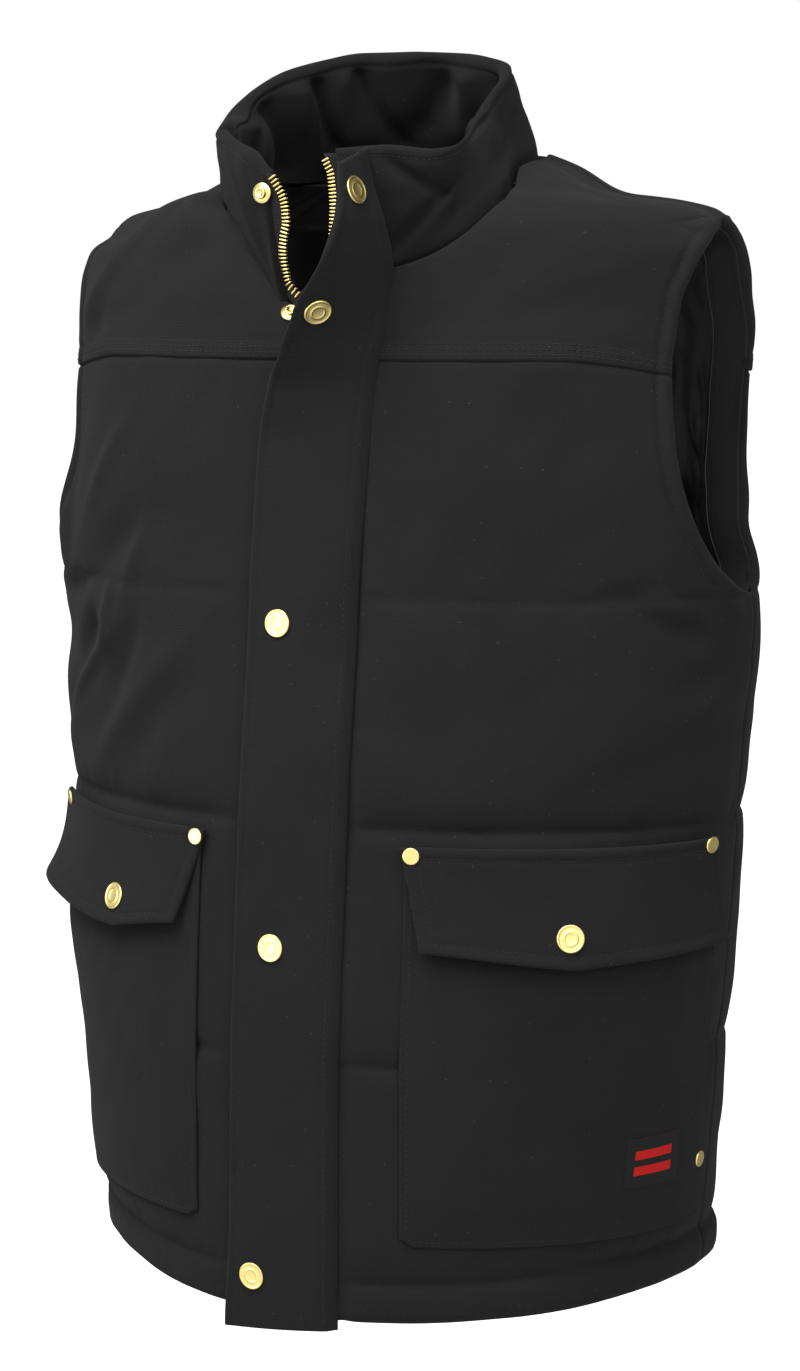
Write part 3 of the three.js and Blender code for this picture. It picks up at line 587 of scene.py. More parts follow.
@dataclass(frozen=True)
class Canvas(Finish):
    """Cotton duck: two sets of yarns, uneven in thickness, a dull bloom and a few specks of lint."""

    shade: float = 0.02
    yarn: float = 0.00085
    lint: float = 0.18

    def paint(self, shader: Shader) -> None:
        """Yarn bands across and along, times slubs drawn out along each yarn, raise and tint the cloth."""
        shader.set(Roughness=0.9, Sheen_Weight=0.05, Sheen_Roughness=0.5, Specular_IOR_Level=0.06)
        shader.set(Sheen_Tint=grey(0.8))
        places = shader.places()
        pace = 2 * math.pi / (20 * self.yarn)
        bands = [
            shader.add("ShaderNodeTexWave", {"Vector": places, "Scale": pace, "Distortion": 1.5},
                       bands_direction=axis).outputs["Fac"]
            for axis in ("X", "Y")
        ]
        slubs = [shader.noise(shader.scaled(places, scale), 1.0, 3)
                 for scale in ((1700, 160, 1), (160, 1700, 1))]
        weave = shader.math("ADD", *[shader.math("MULTIPLY", b, s) for b, s in zip(bands, slubs)])
        grain = shader.math("ADD", weave, shader.noise(places, 900, 3))
        shader.raise_by(grain, 0.5, 0.0004)
        cloud = shader.noise(places, 14, 4)
        tone = shader.math("MULTIPLY", shader.math("ADD", cloud, weave), 0.5)
        cloth = shader.blend(tone, grey(self.shade * 0.62, -0.02), grey(self.shade * 1.45, -0.02))
        dots = shader.add("ShaderNodeTexVoronoi", {"Vector": places, "Scale": 95})
        pale = shader.math("MULTIPLY", shader.math("LESS_THAN", dots.outputs["Distance"], 0.035),
                           shader.math("GREATER_THAN", dots.outputs["Color"], 0.8))
        shader.wire(shader.blend(shader.math("MULTIPLY", pale, self.lint), cloth, grey(0.3)), "Base Color")
        dots.voronoi_dimensions = "2D"


@dataclass(frozen=True)
class Thread(Finish):
    """Tone-on-tone sewing thread, twisted along its length."""

    shade: float = 0.017

    def paint(self, shader: Shader) -> None:
        """A dull thread whose tone changes from stitch to stitch with soft noise on its place."""
        shader.set(Roughness=0.65, Sheen_Weight=0.12, Specular_IOR_Level=0.12)
        where = shader.add("ShaderNodeTexCoord", {}).outputs["Object"]
        tone = shader.noise(where, 420, 2)
        shader.wire(shader.blend(tone, grey(self.shade * 0.3), grey(self.shade * 1.5)), "Base Color")


@dataclass(frozen=True)
class Satin(Finish):
    """Smooth lining with a soft gloss."""

    shade: float = 0.006

    def paint(self, shader: Shader) -> None:
        """Fine ribs one way give the gloss a grain."""
        shader.set(Roughness=0.4, Specular_IOR_Level=0.34, Sheen_Weight=0.03)
        places = shader.places()
        ribs = shader.noise(shader.scaled(places, (3000, 120, 1)), 1.0, 2)
        shader.raise_by(ribs, 0.15, 0.0002)
        tone = shader.noise(places, 30, 3)
        shader.wire(shader.blend(tone, grey(self.shade * 0.7), grey(self.shade * 1.3)), "Base Color")


@dataclass(frozen=True)
class Brass(Finish):
    """Pressed yellow brass, lightly rubbed."""

    colour: tuple[float, float, float] = (0.95, 0.79, 0.34)

    def paint(self, shader: Shader) -> None:
        """Metal with faint rub marks that raise it and tint it."""
        shader.set(Metallic=1.0, Roughness=0.3)
        where = shader.add("ShaderNodeTexCoord", {}).outputs["Object"]
        marks = shader.noise(where, 1400, 3)
        shader.raise_by(marks, 0.08, 0.0002)
        deep = tuple(c * k for c, k in zip(self.colour, (0.78, 0.72, 0.6)))
        tone = shader.noise(where, 260, 2)
        shader.wire(shader.blend(tone, (*deep, 1), (*self.colour, 1)), "Base Color")


@dataclass(frozen=True)
class Tape(Finish):
    """Woven zipper tape with ribs across its run."""

    shade: float = 0.012

    def paint(self, shader: Shader) -> None:
        """Ribs across the tape raise and tint it."""
        shader.set(Roughness=0.8, Sheen_Weight=0.1, Specular_IOR_Level=0.12)
        ribs = shader.add("ShaderNodeTexWave", {"Vector": shader.places(), "Scale": 330.0},
                          bands_direction="Y").outputs["Fac"]
        shader.raise_by(ribs, 0.5, 0.0003)
        shader.wire(shader.blend(ribs, grey(self.shade * 0.5), grey(self.shade * 1.6)), "Base Color")


@dataclass(frozen=True)
class LabelWeave(Finish):
    """Black woven label with two plain red bars; its flat places run from 0 to 1 both ways."""

    red: tuple[float, float, float, float] = (0.66, 0.02, 0.018, 1.0)

    def paint(self, shader: Shader) -> None:
        """Two bars: inside a margin across, and within one of two bands up the label."""
        shader.set(Roughness=0.8, Sheen_Weight=0.05, Specular_IOR_Level=0.08)
        places = shader.add("ShaderNodeSeparateXYZ", {"Vector": shader.places()})
        across = shader.math("ABSOLUTE", shader.math("SUBTRACT", places.outputs["X"], 0.5), 0.0)
        up = shader.math("ABSOLUTE", shader.math("SUBTRACT", places.outputs["Y"], 0.5), 0.0)
        band = shader.math("ABSOLUTE", shader.math("SUBTRACT", up, 0.16), 0.0)
        bar = shader.math("MULTIPLY", shader.math("LESS_THAN", across, 0.35),
                          shader.math("LESS_THAN", band, 0.09))
        rows = shader.add("ShaderNodeTexWave", {"Vector": shader.places(), "Scale": 13.0},
                          bands_direction="Y").outputs["Fac"]
        shader.raise_by(shader.math("ADD", rows, bar), 0.4, 0.0003)
        shader.wire(shader.blend(bar, grey(0.02), self.red), "Base Color")


CANVAS = Canvas("black duck canvas", Slot.CANVAS)
# The same duck canvas given a darker colour: painted shade over the whole collar, whose upright faces get
# less of the key light.
COLLAR_CANVAS_PAINTED_SHADE = Canvas("deep duck canvas", Slot.CANVAS, shade=0.0142)
# The same duck canvas given a lighter colour: painted light on the armhole facings, which sit in shade inside
# the armholes.
FACING_CANVAS_PAINTED_LIGHT = Canvas("light duck canvas", Slot.CANVAS, shade=0.03)
THREAD = Thread("black thread", Slot.CANVAS)
SATIN = Satin("black satin lining", Slot.SATIN)
BRASS = Brass("yellow brass", Slot.BRASS)
TAPE = Tape("zipper tape", Slot.TAPE)
LABEL_WEAVE = LabelWeave("woven label", Slot.LABEL)


@dataclass(frozen=True)
class Seam:
    """Sewn row: short arched threads, each a six-sided rod that dips into the cloth at both ends."""

    pitch: float = 3.3
    length: float = 2.5
    radius: float = 0.36
    rise: float = 0.12

    def along(self, face: Face, a: Array, b: Array) -> Part:
        """Stitches along a line on a surface, at even steps of its length.

        Args:
            face: the surface, as points at two coordinates.
            a: first coordinate along the line.
            b: second coordinate along the line.

        Returns:
            The stitches' arrays.
        """
        line = face(a, b)
        run = np.concatenate([[0], np.cumsum(np.linalg.norm(np.diff(line, axis=0), axis=-1))])
        at = np.arange(self.pitch / 2, run[-1], self.pitch)
        a, b = np.interp(at, run, a), np.interp(at, run, b)
        middle = np.stack([np.interp(at, run, line[:, k]) for k in range(3)], -1)
        ahead = unit(np.gradient(middle, axis=0))
        step = 0.2
        across = face(a + step, b) - face(a - step, b)
        up = unit(np.cross(across, face(a, b + step) - face(a, b - step)))
        up *= np.sign((up * (middle - np.array([0, 0, 1]) * middle)).sum(-1, keepdims=True))
        aside = unit(np.cross(up, ahead))
        share = np.array([-1, -0.75, 0, 0.75, 1])
        thick = self.radius * np.array([0.35, 0.85, 1, 0.85, 0.35])
        turn = np.arange(6) * np.pi / 3
        height = (self.rise - self.radius * 1.1 * share**2)[:, None] + np.outer(thick, np.sin(turn))
        width = np.outer(thick, np.cos(turn))
        half = np.repeat((share * self.length / 2)[:, None], 6, 1)
        caps = np.array([[0, 1, 2, 3], [0, 3, 4, 5]])
        return prisms(middle, (ahead, up, aside), (half, height, width), caps)


SEAM = Seam()
QUILT_SEAM = Seam(pitch=3.6, length=2.4, radius=0.34, rise=0.0)


# Folds of the body: the right side, the left side, and then the back
FOLDS = (
    Fold(-43, 466, 56, 32, 7, 3.0), Fold(-39, 424, 39, 32, 12, -5.0), Fold(-34, 414, 72, 24, 6, 2.6),
    Fold(-41.5, 380, 84, 18, 5, 3.6), Fold(-48, 352, 44, 28, 5, 4.4), Fold(-49.5, 372, 60, 15, 7, -5.4),
    Fold(-37, 358, 62, 28, 8, -3.8), Fold(-33, 338, 48, 52, 8, 3.6), Fold(-27, 330, 50, 40, 9, -2.2),
    Fold(-58, 396, 8, 26, 6, -5.0), Fold(-63, 434, 84, 26, 10, 4.0), Fold(-57, 470, 78, 40, 12, -1.6),
    Fold(-56, 318, 40, 30, 9, 1.6), Fold(-60, 335, 42, 24, 7, -2.0),
    Fold(52, 407, 4, 14, 5, -1.8), Fold(61, 400, -12, 18, 6, 2.6), Fold(65, 387, -17, 22, 7, -3.4),
    Fold(78, 399, -20, 18, 7, 1.8), Fold(76, 363, 13, 34, 9, -2.2), Fold(74, 346, 14, 36, 10, 1.6),
    Fold(58, 312, 18, 36, 11, -1.4), Fold(30, 440, 70, 60, 26, 1.0), Fold(40, 330, 30, 50, 20, 0.9),
    Fold(118, 350, 40, 50, 14, 2.4), Fold(128, 330, 38, 50, 14, -2.0), Fold(-120, 345, 40, 48, 14, 2.4),
    Fold(-131, 330, 36, 50, 15, -2.0), Fold(160, 470, 80, 70, 18, 1.6), Fold(-158, 460, 96, 70, 18, 1.6),
)


@dataclass(frozen=True)
class Quilting:
    """Padding held down by level sewn lines: it swells between them and pulls in along them.

    Each line has its height, the depth of its crease, and how far that reaches above and below it.
    """

    hem_line: tuple[float, float, float, float] = (30.0, 3.4, 9.0, 4.0)
    lines: tuple[tuple[float, float, float, float], ...] = (
        (152.0, 2.8, 5.5, 4.0), (280.0, 5.0, 9.5, 4.0), (403.0, 0.9, 4.0, 4.0),
    )
    swell: float = 1.3
    pucker: float = 0.4

    def rows(self, theta: Array) -> list[Array]:
        """Heights of the hem, the hem seam, each line and the yoke seam at each angle."""
        low = hem(theta)
        level = [line[0] + 0 * theta for line in self.lines]
        return [low, low + self.hem_line[0] - 8, *level, yoke_seam(theta)]

    def relief(self, theta: Array, h: Array) -> Array:
        """Rise of the padding.

        Between two rows it is an arch, on a row it drops along two facing curves to a crease, beside the
        row it puckers in short waves, and folds and uneven waves lie over the whole.

        Args:
            theta: angle round the body.
            h: height.

        Returns:
            Rise in millimetres at each place.
        """
        rows = self.rows(theta)
        around = np.radians(theta) * BODY_RADIUS
        total = 0.55 * ripples(around, h, 85, 3) + 0.22 * ripples(around, h, 34, 4)
        for low, high in zip(rows[:-1], rows[1:]):
            t = np.clip((h - low) / (high - low), 0, 1)
            total = total + self.swell * np.sqrt(np.clip(4 * t * (1 - t), 0, 1)) * (0.7 + 0.3 * (high < 500))
        for i, (row, line) in enumerate(zip(rows[1:-1], (self.hem_line, *self.lines))):
            away = np.abs(h - row)
            short = ripples(around, 0.25 * h, 13, 20 + i) * np.exp(-away / 9) * smooth(away, 0.5, 5)
            ease = np.where(h > row, line[2], line[3])
            first, last = (50, 68) if i == 2 else (70, 88)
            beside = smooth(np.abs(theta), first, last) * smooth(np.abs(theta), 140, 115) * (i > 0)
            depth = line[1] * mix(1.0, np.where(theta > 0, 0.45, 0.35), beside)
            total = total - depth * np.exp(-away / ease) + self.pucker * short
        for fold in FOLDS:
            total = total + fold.height(theta, h)
        return total


QUILTING = Quilting()


def arm_edge_rise(distance: Array) -> Array:
    """Band along an armhole: a low roll at the edge, and a groove where it is sewn down."""
    return 0.9 * bump(distance - 4.8, 3.6) - 1.2 * bump(distance - 9.6, 2.2)


def beside_arm(h: Array) -> Array:
    """Angle of the sewn row that keeps an even distance from the armhole's front edge."""
    edge = 90 - ARM_FRONT(h)
    pace = around_pace(edge, h)
    lean = np.gradient(edge, h) * pace
    return edge - ARM_ROW / pace * np.sqrt(1 + lean**2)


@dataclass(frozen=True)
class BodyPanels:
    """Quilted fronts and back below the yokes."""

    edge_radius: float = 4.0
    hem_radius: float = 5.0
    seam_depth: float = 1.3
    under_yoke: float = 5.0
    front_gap: float = 6.0
    fill: float = 0.35

    def front_side(self, h: Array) -> Array:
        """Angle of a front's outer edge: the side seam, then the armhole."""
        return 90 - np.where(h > ARMPIT, ARM_FRONT(h), 0.0)

    def back_side(self, h: Array) -> Array:
        """Angle of the back's outer edge: the side seam, then the armhole."""
        return 90 + np.where(h > ARMPIT, ARM_BACK(h), 0.0)

    def drop(self, theta: Array, h: Array, side: Callable[[Array], Array]) -> tuple[Array, Array, Array]:
        """Edge shape of a panel: fall of the outer face, rise of the inner face, and the armhole band.

        Args:
            theta: angle from the panel's own middle line.
            h: height.
            side: angle of the panel's outer edge at each height.

        Returns:
            Fall, rise and band height at each place.
        """
        at_side = from_edge(theta, h, side)
        open_edge = smooth(h, ARMPIT - 3, ARMPIT + 6)
        side_roll = rolled(at_side, self.edge_radius)
        hem_roll = rolled(h - hem(theta), self.hem_radius)
        fall = np.maximum(side_roll * mix(self.seam_depth, WALL / 2, open_edge), hem_roll * WALL / 2)
        lift = np.maximum(side_roll * open_edge, hem_roll) * WALL / 2
        return fall, lift, arm_edge_rise(at_side) * open_edge

    def front_face(self, theta: Array, h: Array) -> Array:
        """Outer face of a front: the body plus the padding's relief, less its rolled edges."""
        fall, _, band = self.drop(np.abs(theta), h, self.front_side)
        x = np.abs(HALF(h) * np.sin(np.radians(theta)))
        beside = np.where(theta > 0, smooth(x, 30, 44), smooth(x, 34, 62))
        relief = QUILTING.relief(theta, h) * (0.25 + 0.75 * beside) + band
        seam = np.where(theta > 0, 1.6 * bump(x - 31, 3.5), 0)
        tuck = 2.6 * smooth(h, yoke_seam(theta) - 4, yoke_seam(theta) + 1)
        return on_body(theta, h, relief - fall - tuck - seam)

    def back_face(self, theta: Array, h: Array) -> Array:
        """Outer face of the back: the body plus the padding's relief, less its rolled edges."""
        fall, _, band = self.drop(off_front(theta), h, self.back_side)
        relief = QUILTING.relief(signed(theta), h) + band
        tuck = 2.6 * smooth(h, yoke_seam(theta) - 4, yoke_seam(theta) + 1)
        return on_body(theta, h, relief - fall - tuck)

    def front_places(self, side: Side, u: Array, rows: Array) -> tuple[Array, Array]:
        """Angles and heights of a front's grid, from the front edge to the side and from hem to yoke."""
        edge = self.front_gap / HALF(rows * YOKE_LEVEL)
        guess = mix(np.degrees(edge)[None, :], self.front_side(rows * YOKE_LEVEL)[None, :], u[:, None])
        h = mix(hem(guess), yoke_seam(guess) + self.under_yoke, rows[None, :])
        return mix(np.degrees(edge)[None, :], self.front_side(h), u[:, None]) * side.value, h

    def back_places(self, u: Array, rows: Array) -> tuple[Array, Array]:
        """Angles and heights of the back's grid, from side to side and from hem to yoke."""
        edge = self.back_side(rows * YOKE_LEVEL)[None, :]
        guess = mix(edge, 360 - edge, u[:, None])
        h = mix(hem(guess), yoke_seam(guess) + self.under_yoke, rows[None, :])
        return mix(self.back_side(h), 360 - self.back_side(h), u[:, None]), h

    def inner(self, theta: Array, h: Array, side: Callable[[Array], Array]) -> Array:
        """Inner face of a panel, which meets the outer one at the free edges."""
        _, lift, _ = self.drop(off_front(theta), h, side)
        return on_body(theta, h, lift - WALL)

    def build(self) -> None:
        """Lays the two fronts and the back, with their sewn lines."""
        rows = spaced(241, 525, self.hem_radius)
        for side in Side:
            u = spaced(125, 250, self.edge_radius)
            theta, h = self.front_places(side, u, rows)
            inside = self.inner(*self.front_places(side, u[::4], rows[::4]), self.front_side)
            name = f"front_{side.word}"
            part = cover(self.front_face(theta, h), inside)
            lay(name, part, CANVAS, name)
            self.sew_front(side)
        u = spaced(201, 520, self.edge_radius)
        theta, h = self.back_places(u, rows)
        inside = self.inner(*self.back_places(u[::4], rows[::4]), self.back_side)
        part = cover(self.back_face(theta, h), inside)
        lay("back_panel", part, CANVAS, "back_panel")
        self.sew_back()

    def sew_front(self, side: Side) -> None:
        """Sews the quilt lines, the hem and the armhole band of a front."""
        sign = side.value
        theta = np.linspace(12.5 if sign > 0 else 11.5, 89, 300)
        lines = QUILTING.rows(theta)[1:-1]
        rows = [QUILT_SEAM.along(self.front_face, theta * sign, line) for line in lines]
        h = np.linspace(ARMPIT + 5, 526, 200)
        rows.append(SEAM.along(self.front_face, beside_arm(h) * sign, h))
        lay(f"stitch_front_{side.word}", merged(rows), THREAD)

    def sew_back(self) -> None:
        """Sews the quilt lines and the hem of the back."""
        theta = np.linspace(92, 268, 500)
        rows = [QUILT_SEAM.along(self.back_face, theta, line) for line in QUILTING.rows(theta)[1:-1]]
        lay("stitch_back", merged(rows), THREAD)


YOKE_FOLDS = (
    Fold(-51, 568, 50, 30, 7, 2.6), Fold(-51, 541, 60, 14, 9, -2.6), Fold(-30, 609, -40, 20, 7, 1.8),
    Fold(-24, 585, 40, 30, 10, -1.2), Fold(40, 590, -40, 40, 14, 1.2), Fold(24, 560, 60, 30, 12, -1.0),
    Fold(150, 590, 20, 60, 12, 1.2), Fold(-148, 585, -20, 60, 12, 1.2),
)


@dataclass(frozen=True)
class Yokes:
    """Shoulder yokes: their lower edge is folded over the panels and sewn in three rows."""

    overlap: float = 2.0
    fold_radius: float = 1.5
    edge_radius: float = 4.0
    rows: tuple[float, ...] = (3.4, 6.2, 9.0)
    fill: float = 0.3

    def low(self, theta: Array) -> Array:
        """Height of the folded lower edge."""
        return yoke_seam(theta) - self.overlap

    def from_arm(self, turned: Array, h: Array) -> Array:
        """Distance to the armhole's edge, which is a far one above the shoulder's tip."""
        edge = lambda at: 90 + np.where(turned < 90, -ARM_FRONT(at), ARM_BACK(at))
        near = from_edge(turned, np.minimum(h, SHOULDER_TIP - 0.01), edge)
        return np.where(h > SHOULDER_TIP, FAR, near)

    def lift(self, theta: Array, h: Array) -> Array:
        """Rise of a yoke: a flat fold along its lower edge, soft padding above, and rolled edges all round.

        Args:
            theta: angle round the body, from 0 to 180 either way.
            h: height.

        Returns:
            Rise in millimetres at each place.
        """
        turned = np.abs(theta)
        front = turned < 90
        at_arm = self.from_arm(turned, h)
        at_fold = h - self.low(theta)
        at_shoulder = np.abs(90 - turned) * around_pace(turned, h)
        stretch = np.linalg.norm(ring(theta, h + 1) - ring(theta, h - 1), axis=-1) / 2
        lean = (neck(theta + 0.5) - neck(theta - 0.5)) * stretch / around_pace(turned, h)
        at_neck = (neck(theta) - h) * stretch / np.sqrt(1 + lean**2)
        around = np.radians(theta) * BODY_RADIUS
        soft = 0.7 * ripples(around, h, 80, 7) + 0.25 * ripples(around, h, 30, 8)
        rise = 0.9 + 1.3 * smooth(at_fold, 10, 34) + soft * smooth(at_fold, 8, 30)
        rise = rise - 0.5 * bump(at_fold - 10.5, 2.0)
        for fold in YOKE_FOLDS:
            rise = rise + fold.height(theta, h) * smooth(at_fold, 6, 20)
        rise = rise + arm_edge_rise(at_arm)
        rise = rise + np.where(front, -0.8, 1.0) * bump(at_shoulder - 5.5, np.where(front, 1.3, 4.0))
        groove = np.where(theta < 0, 7.5 * rolled(at_neck, 18) * smooth(turned, 80, 50), 0)
        seam = np.maximum.reduce([1.6 * rolled(at_shoulder, 3.0), 1.3 * rolled(at_neck, 4), groove])
        return rise - np.maximum.reduce([rolled(at_fold, self.fold_radius) * 2.4, seam,
                                         rolled(at_arm, self.edge_radius) * (WALL / 2 + 0.9)])

    def face(self, theta: Array, h: Array) -> Array:
        """Outer face of a yoke."""
        return on_body(theta, h, self.lift(signed(theta), h))

    def inner(self, theta: Array, h: Array) -> Array:
        """Inner face of a yoke, which meets the outer one along the armhole."""
        roll = rolled(self.from_arm(off_front(theta), h), self.edge_radius)
        return on_body(theta, h, -WALL + roll * WALL / 2)

    def front_corner(self, side: Side) -> float:
        """Height where a front edge meets the neck seam, found by going from one to the other in turn."""
        h = neck(np.array(float(side.value)))
        for _ in range(12):
            h = neck(angle_at(front_edge(side)(h), h))
        return float(h)

    def front_places(self, side: Side, u: Array, w: Array) -> tuple[Array, Array]:
        """Angles and heights of a front yoke: a patch between its edges as seen from the front.

        The patch is blended in the plane of X and height, with rows that close up towards the shoulder,
        where the cloth turns over.

        Args:
            side: wearer's side.
            u: shares from the front edge to the armhole.
            w: shares from the fold to the shoulder.

        Returns:
            Angles and heights, with shape (u, w).
        """
        v = 1 - (1 - w) ** 2
        edge = front_edge(side)
        arm = lambda h: np.stack([HALF(h) * np.sin(np.radians(90 - ARM_FRONT(h))), h], -1)
        start, tip = YOKE_LEVEL - YOKE_DIP - self.overlap, SHOULDER_TIP
        right = arm(mix(start, tip, v))
        theta = mix(angle_at(np.abs(edge(YOKE_LEVEL)), YOKE_LEVEL), angle_at(right[0, 0], start), u)
        bottom = np.stack([HALF(self.low(theta)) * np.sin(np.radians(theta)), self.low(theta)], -1)
        h = mix(NECK_POINT, tip, u)
        top = np.stack([HALF(h), h], -1)
        corner = self.front_corner(side)
        first = np.abs(angle_at(edge(corner), corner))
        seam = mix(first, 90.0, np.clip((v - 0.25) / 0.75, 0, 1) ** 1.7)
        rim = mix(bottom[0, 1], corner, np.clip(v / 0.25, 0, 1))
        high = neck(seam * side.value)
        on_neck = np.stack([HALF(high) * np.sin(np.radians(seam)), high], -1)
        on_edge = np.stack([np.abs(edge(rim)), rim], -1)
        left = np.where((v < 0.25)[:, None], on_edge, on_neck)
        left[0] = bottom[0]
        patch = coons(bottom, top, left, right, u, v)
        return angle_at(patch[..., 0], patch[..., 1]) * side.value, patch[..., 1]

    def back_places(self, u: Array, w: Array) -> tuple[Array, Array]:
        """Angles and heights of the back yoke: a patch between its edges as seen from the back.

        Args:
            u: shares from the wearer's left armhole to the right one.
            w: shares from the fold to the shoulders and the neck.

        Returns:
            Angles and heights, with shape (u, w).
        """
        v = 1 - (1 - w) ** 2
        start, tip = YOKE_LEVEL - YOKE_DIP - self.overlap, SHOULDER_TIP
        h = mix(start, tip, v)
        left = np.stack([HALF(h) * np.sin(np.radians(90 + ARM_BACK(h))), h], -1)
        right = left * np.array([-1, 1])
        theta = mix(180 - angle_at(left[0, 0], start), 180 + angle_at(left[0, 0], start), u)
        bottom = np.stack([HALF(self.low(theta)) * np.sin(np.radians(theta)), self.low(theta)], -1)
        x = mix(HALF(tip), -HALF(tip), u)
        heights = np.linspace(tip, NECK_POINT, 80)
        shoulder = np.interp(np.abs(x), HALF(heights)[::-1], heights[::-1])
        reach = HALF(NECK_POINT)
        at_neck = NECK_BACK - (NECK_BACK - NECK_POINT) * (x / reach) ** 2
        top = np.stack([x, np.where(np.abs(x) > reach, shoulder, at_neck)], -1)
        patch = coons(bottom, top, left, right, u, v)
        return 180 - angle_at(patch[..., 0], patch[..., 1]), patch[..., 1]

    def build(self) -> None:
        """Lays the three yokes and their sewn rows."""
        w = spaced(83, 150, self.fold_radius)
        for side in Side:
            u = spaced(95, 180, self.edge_radius)
            places = self.front_places(side, u, w)
            part = cover(self.face(*places), self.inner(*self.front_places(side, u[::3], w[::3])))
            name = f"yoke_front_{side.word}"
            lay(name, part, CANVAS, name)
            self.sew(f"stitch_yoke_{side.word}", np.linspace(4.5, 61.2, 260) * side.value)
        u = spaced(191, 390, self.edge_radius)
        part = cover(self.face(*self.back_places(u, w)), self.inner(*self.back_places(u[::3], w[::3])))
        lay("yoke_back", part, CANVAS, "yoke_back")
        self.sew("stitch_yoke_back", np.linspace(114, 246, 400))

    def sew(self, name: str, theta: Array) -> None:
        """Sews three rows above the folded edge, and one beside the armhole of a front yoke."""
        rows = [SEAM.along(self.face, theta, self.low(theta) + row) for row in self.rows]
        if abs(theta[-1]) < 90:
            h = np.linspace(533, 598, 120)
            rows.append(SEAM.along(self.face, beside_arm(h) * np.sign(theta[0]), h))
        lay(name, merged(rows), THREAD)


# Lengths for one unit of the collar's s and t
COLLAR_AROUND, COLLAR_TALL = 230.0, 75.0
# Collar from its front edge to the middle of the back: share, degrees on the neck seam, and X, Y and
# height of the top edge
COLLAR_LEFT = (
    (0, 4.6, 11.5, -108, 640), (0.14, 11, 40, -109, 641), (0.25, 17, 63, -101, 639), (0.32, 21, 72, -87, 642),
    (0.4, 28, 72, -66, 651), (0.5, 42, 72, -42, 664), (0.64, 66, 72, -14, 680), (0.74, 90, 66, 4, 690),
    (0.82, 113, 51, 14, 695), (0.89, 140, 33, 20, 698), (1, 180, 0, 23, 700),
)
COLLAR_RIGHT = (
    (0, 6.4, 30, -106, 628.5), (0.14, 10, 46, -100, 639), (0.25, 15, 61, -88, 646), (0.37, 24, 80, -70, 654),
    (0.5, 42, 83, -42, 669), (0.64, 66, 75, -9, 687), (0.77, 98, 55, 11, 696), (0.89, 140, 30, 20, 700),
    (1, 180, 0, 23, 700),
)


@dataclass(frozen=True)
class Crease:
    """Fold of the collar between two places (s, t): a bell across the line, fading past its ends."""

    start: tuple[float, float]
    end: tuple[float, float]
    width: float
    rise: float

    def height(self, s: Array, t: Array) -> Array:
        """Rise at each place, with s and t turned into lengths."""
        scale = np.array([COLLAR_AROUND, COLLAR_TALL])
        a, b = np.array(self.start) * scale, np.array(self.end) * scale
        run = float(np.hypot(*(b - a)))
        way = (b - a) / run
        x, y = s * scale[0] - a[0], t * scale[1] - a[1]
        along, aside = x * way[0] + y * way[1], y * way[0] - x * way[1]
        past = np.maximum(0, np.maximum(-along, along - run))
        return self.rise * bump(aside, self.width) * bump(past, self.width * 1.6)


COLLAR_CREASES = (
    Crease((0.83, 0.85), (0.71, 0.57), 4.2, -3.4), Crease((0.70, 0.57), (0.83, 0.17), 5.5, -3.2),
    Crease((0.83, 0.6), (0.8, 0.45), 9, 1.2), Crease((0.74, 0.85), (0.7, 0.72), 7, 1.0),
    Crease((0.62, 0.85), (0.66, 0.3), 7, -1.2), Crease((0.584, 0.94), (0.526, 0.9), 4, -2.0),
    Crease((-0.86, 0.3), (-0.74, 0.75), 8, 2.0), Crease((0.3, 0.35), (-0.3, 0.4), 12, 1.0),
)
COLLAR_GATHERS = (
    Crease((-0.86, 0.75), (-0.8, 0.2), 6, 5.0), Crease((-0.7, 0.9), (-0.62, 0.3), 7, -4.0),
    Crease((-0.52, 0.8), (-0.42, 0.1), 9, 5.0), Crease((-0.425, 0.73), (-0.32, 0.0), 5, -5.5),
    Crease((-0.36, 0.95), (-0.3, 0.45), 9, 5.5), Crease((-0.28, 0.9), (-0.17, 0.2), 5, -6.0),
    Crease((-0.17, 0.75), (-0.13, 0.3), 9, 4.5), Crease((-0.15, 1.0), (-0.045, 0.2), 4.5, -5.0),
    Crease((0.05, 0.7), (0.0, 0.38), 7, -4.5), Crease((0.13, 0.92), (0.09, 0.35), 8, 5.0),
    Crease((0.25, 0.9), (0.2, 0.3), 8, -3.5), Crease((0.36, 0.9), (0.34, 0.2), 9, 3.0),
    Crease((0.55, 0.85), (0.55, 0.2), 9, 4.0), Crease((0.8, 0.8), (0.78, 0.2), 8, -3.0),
)


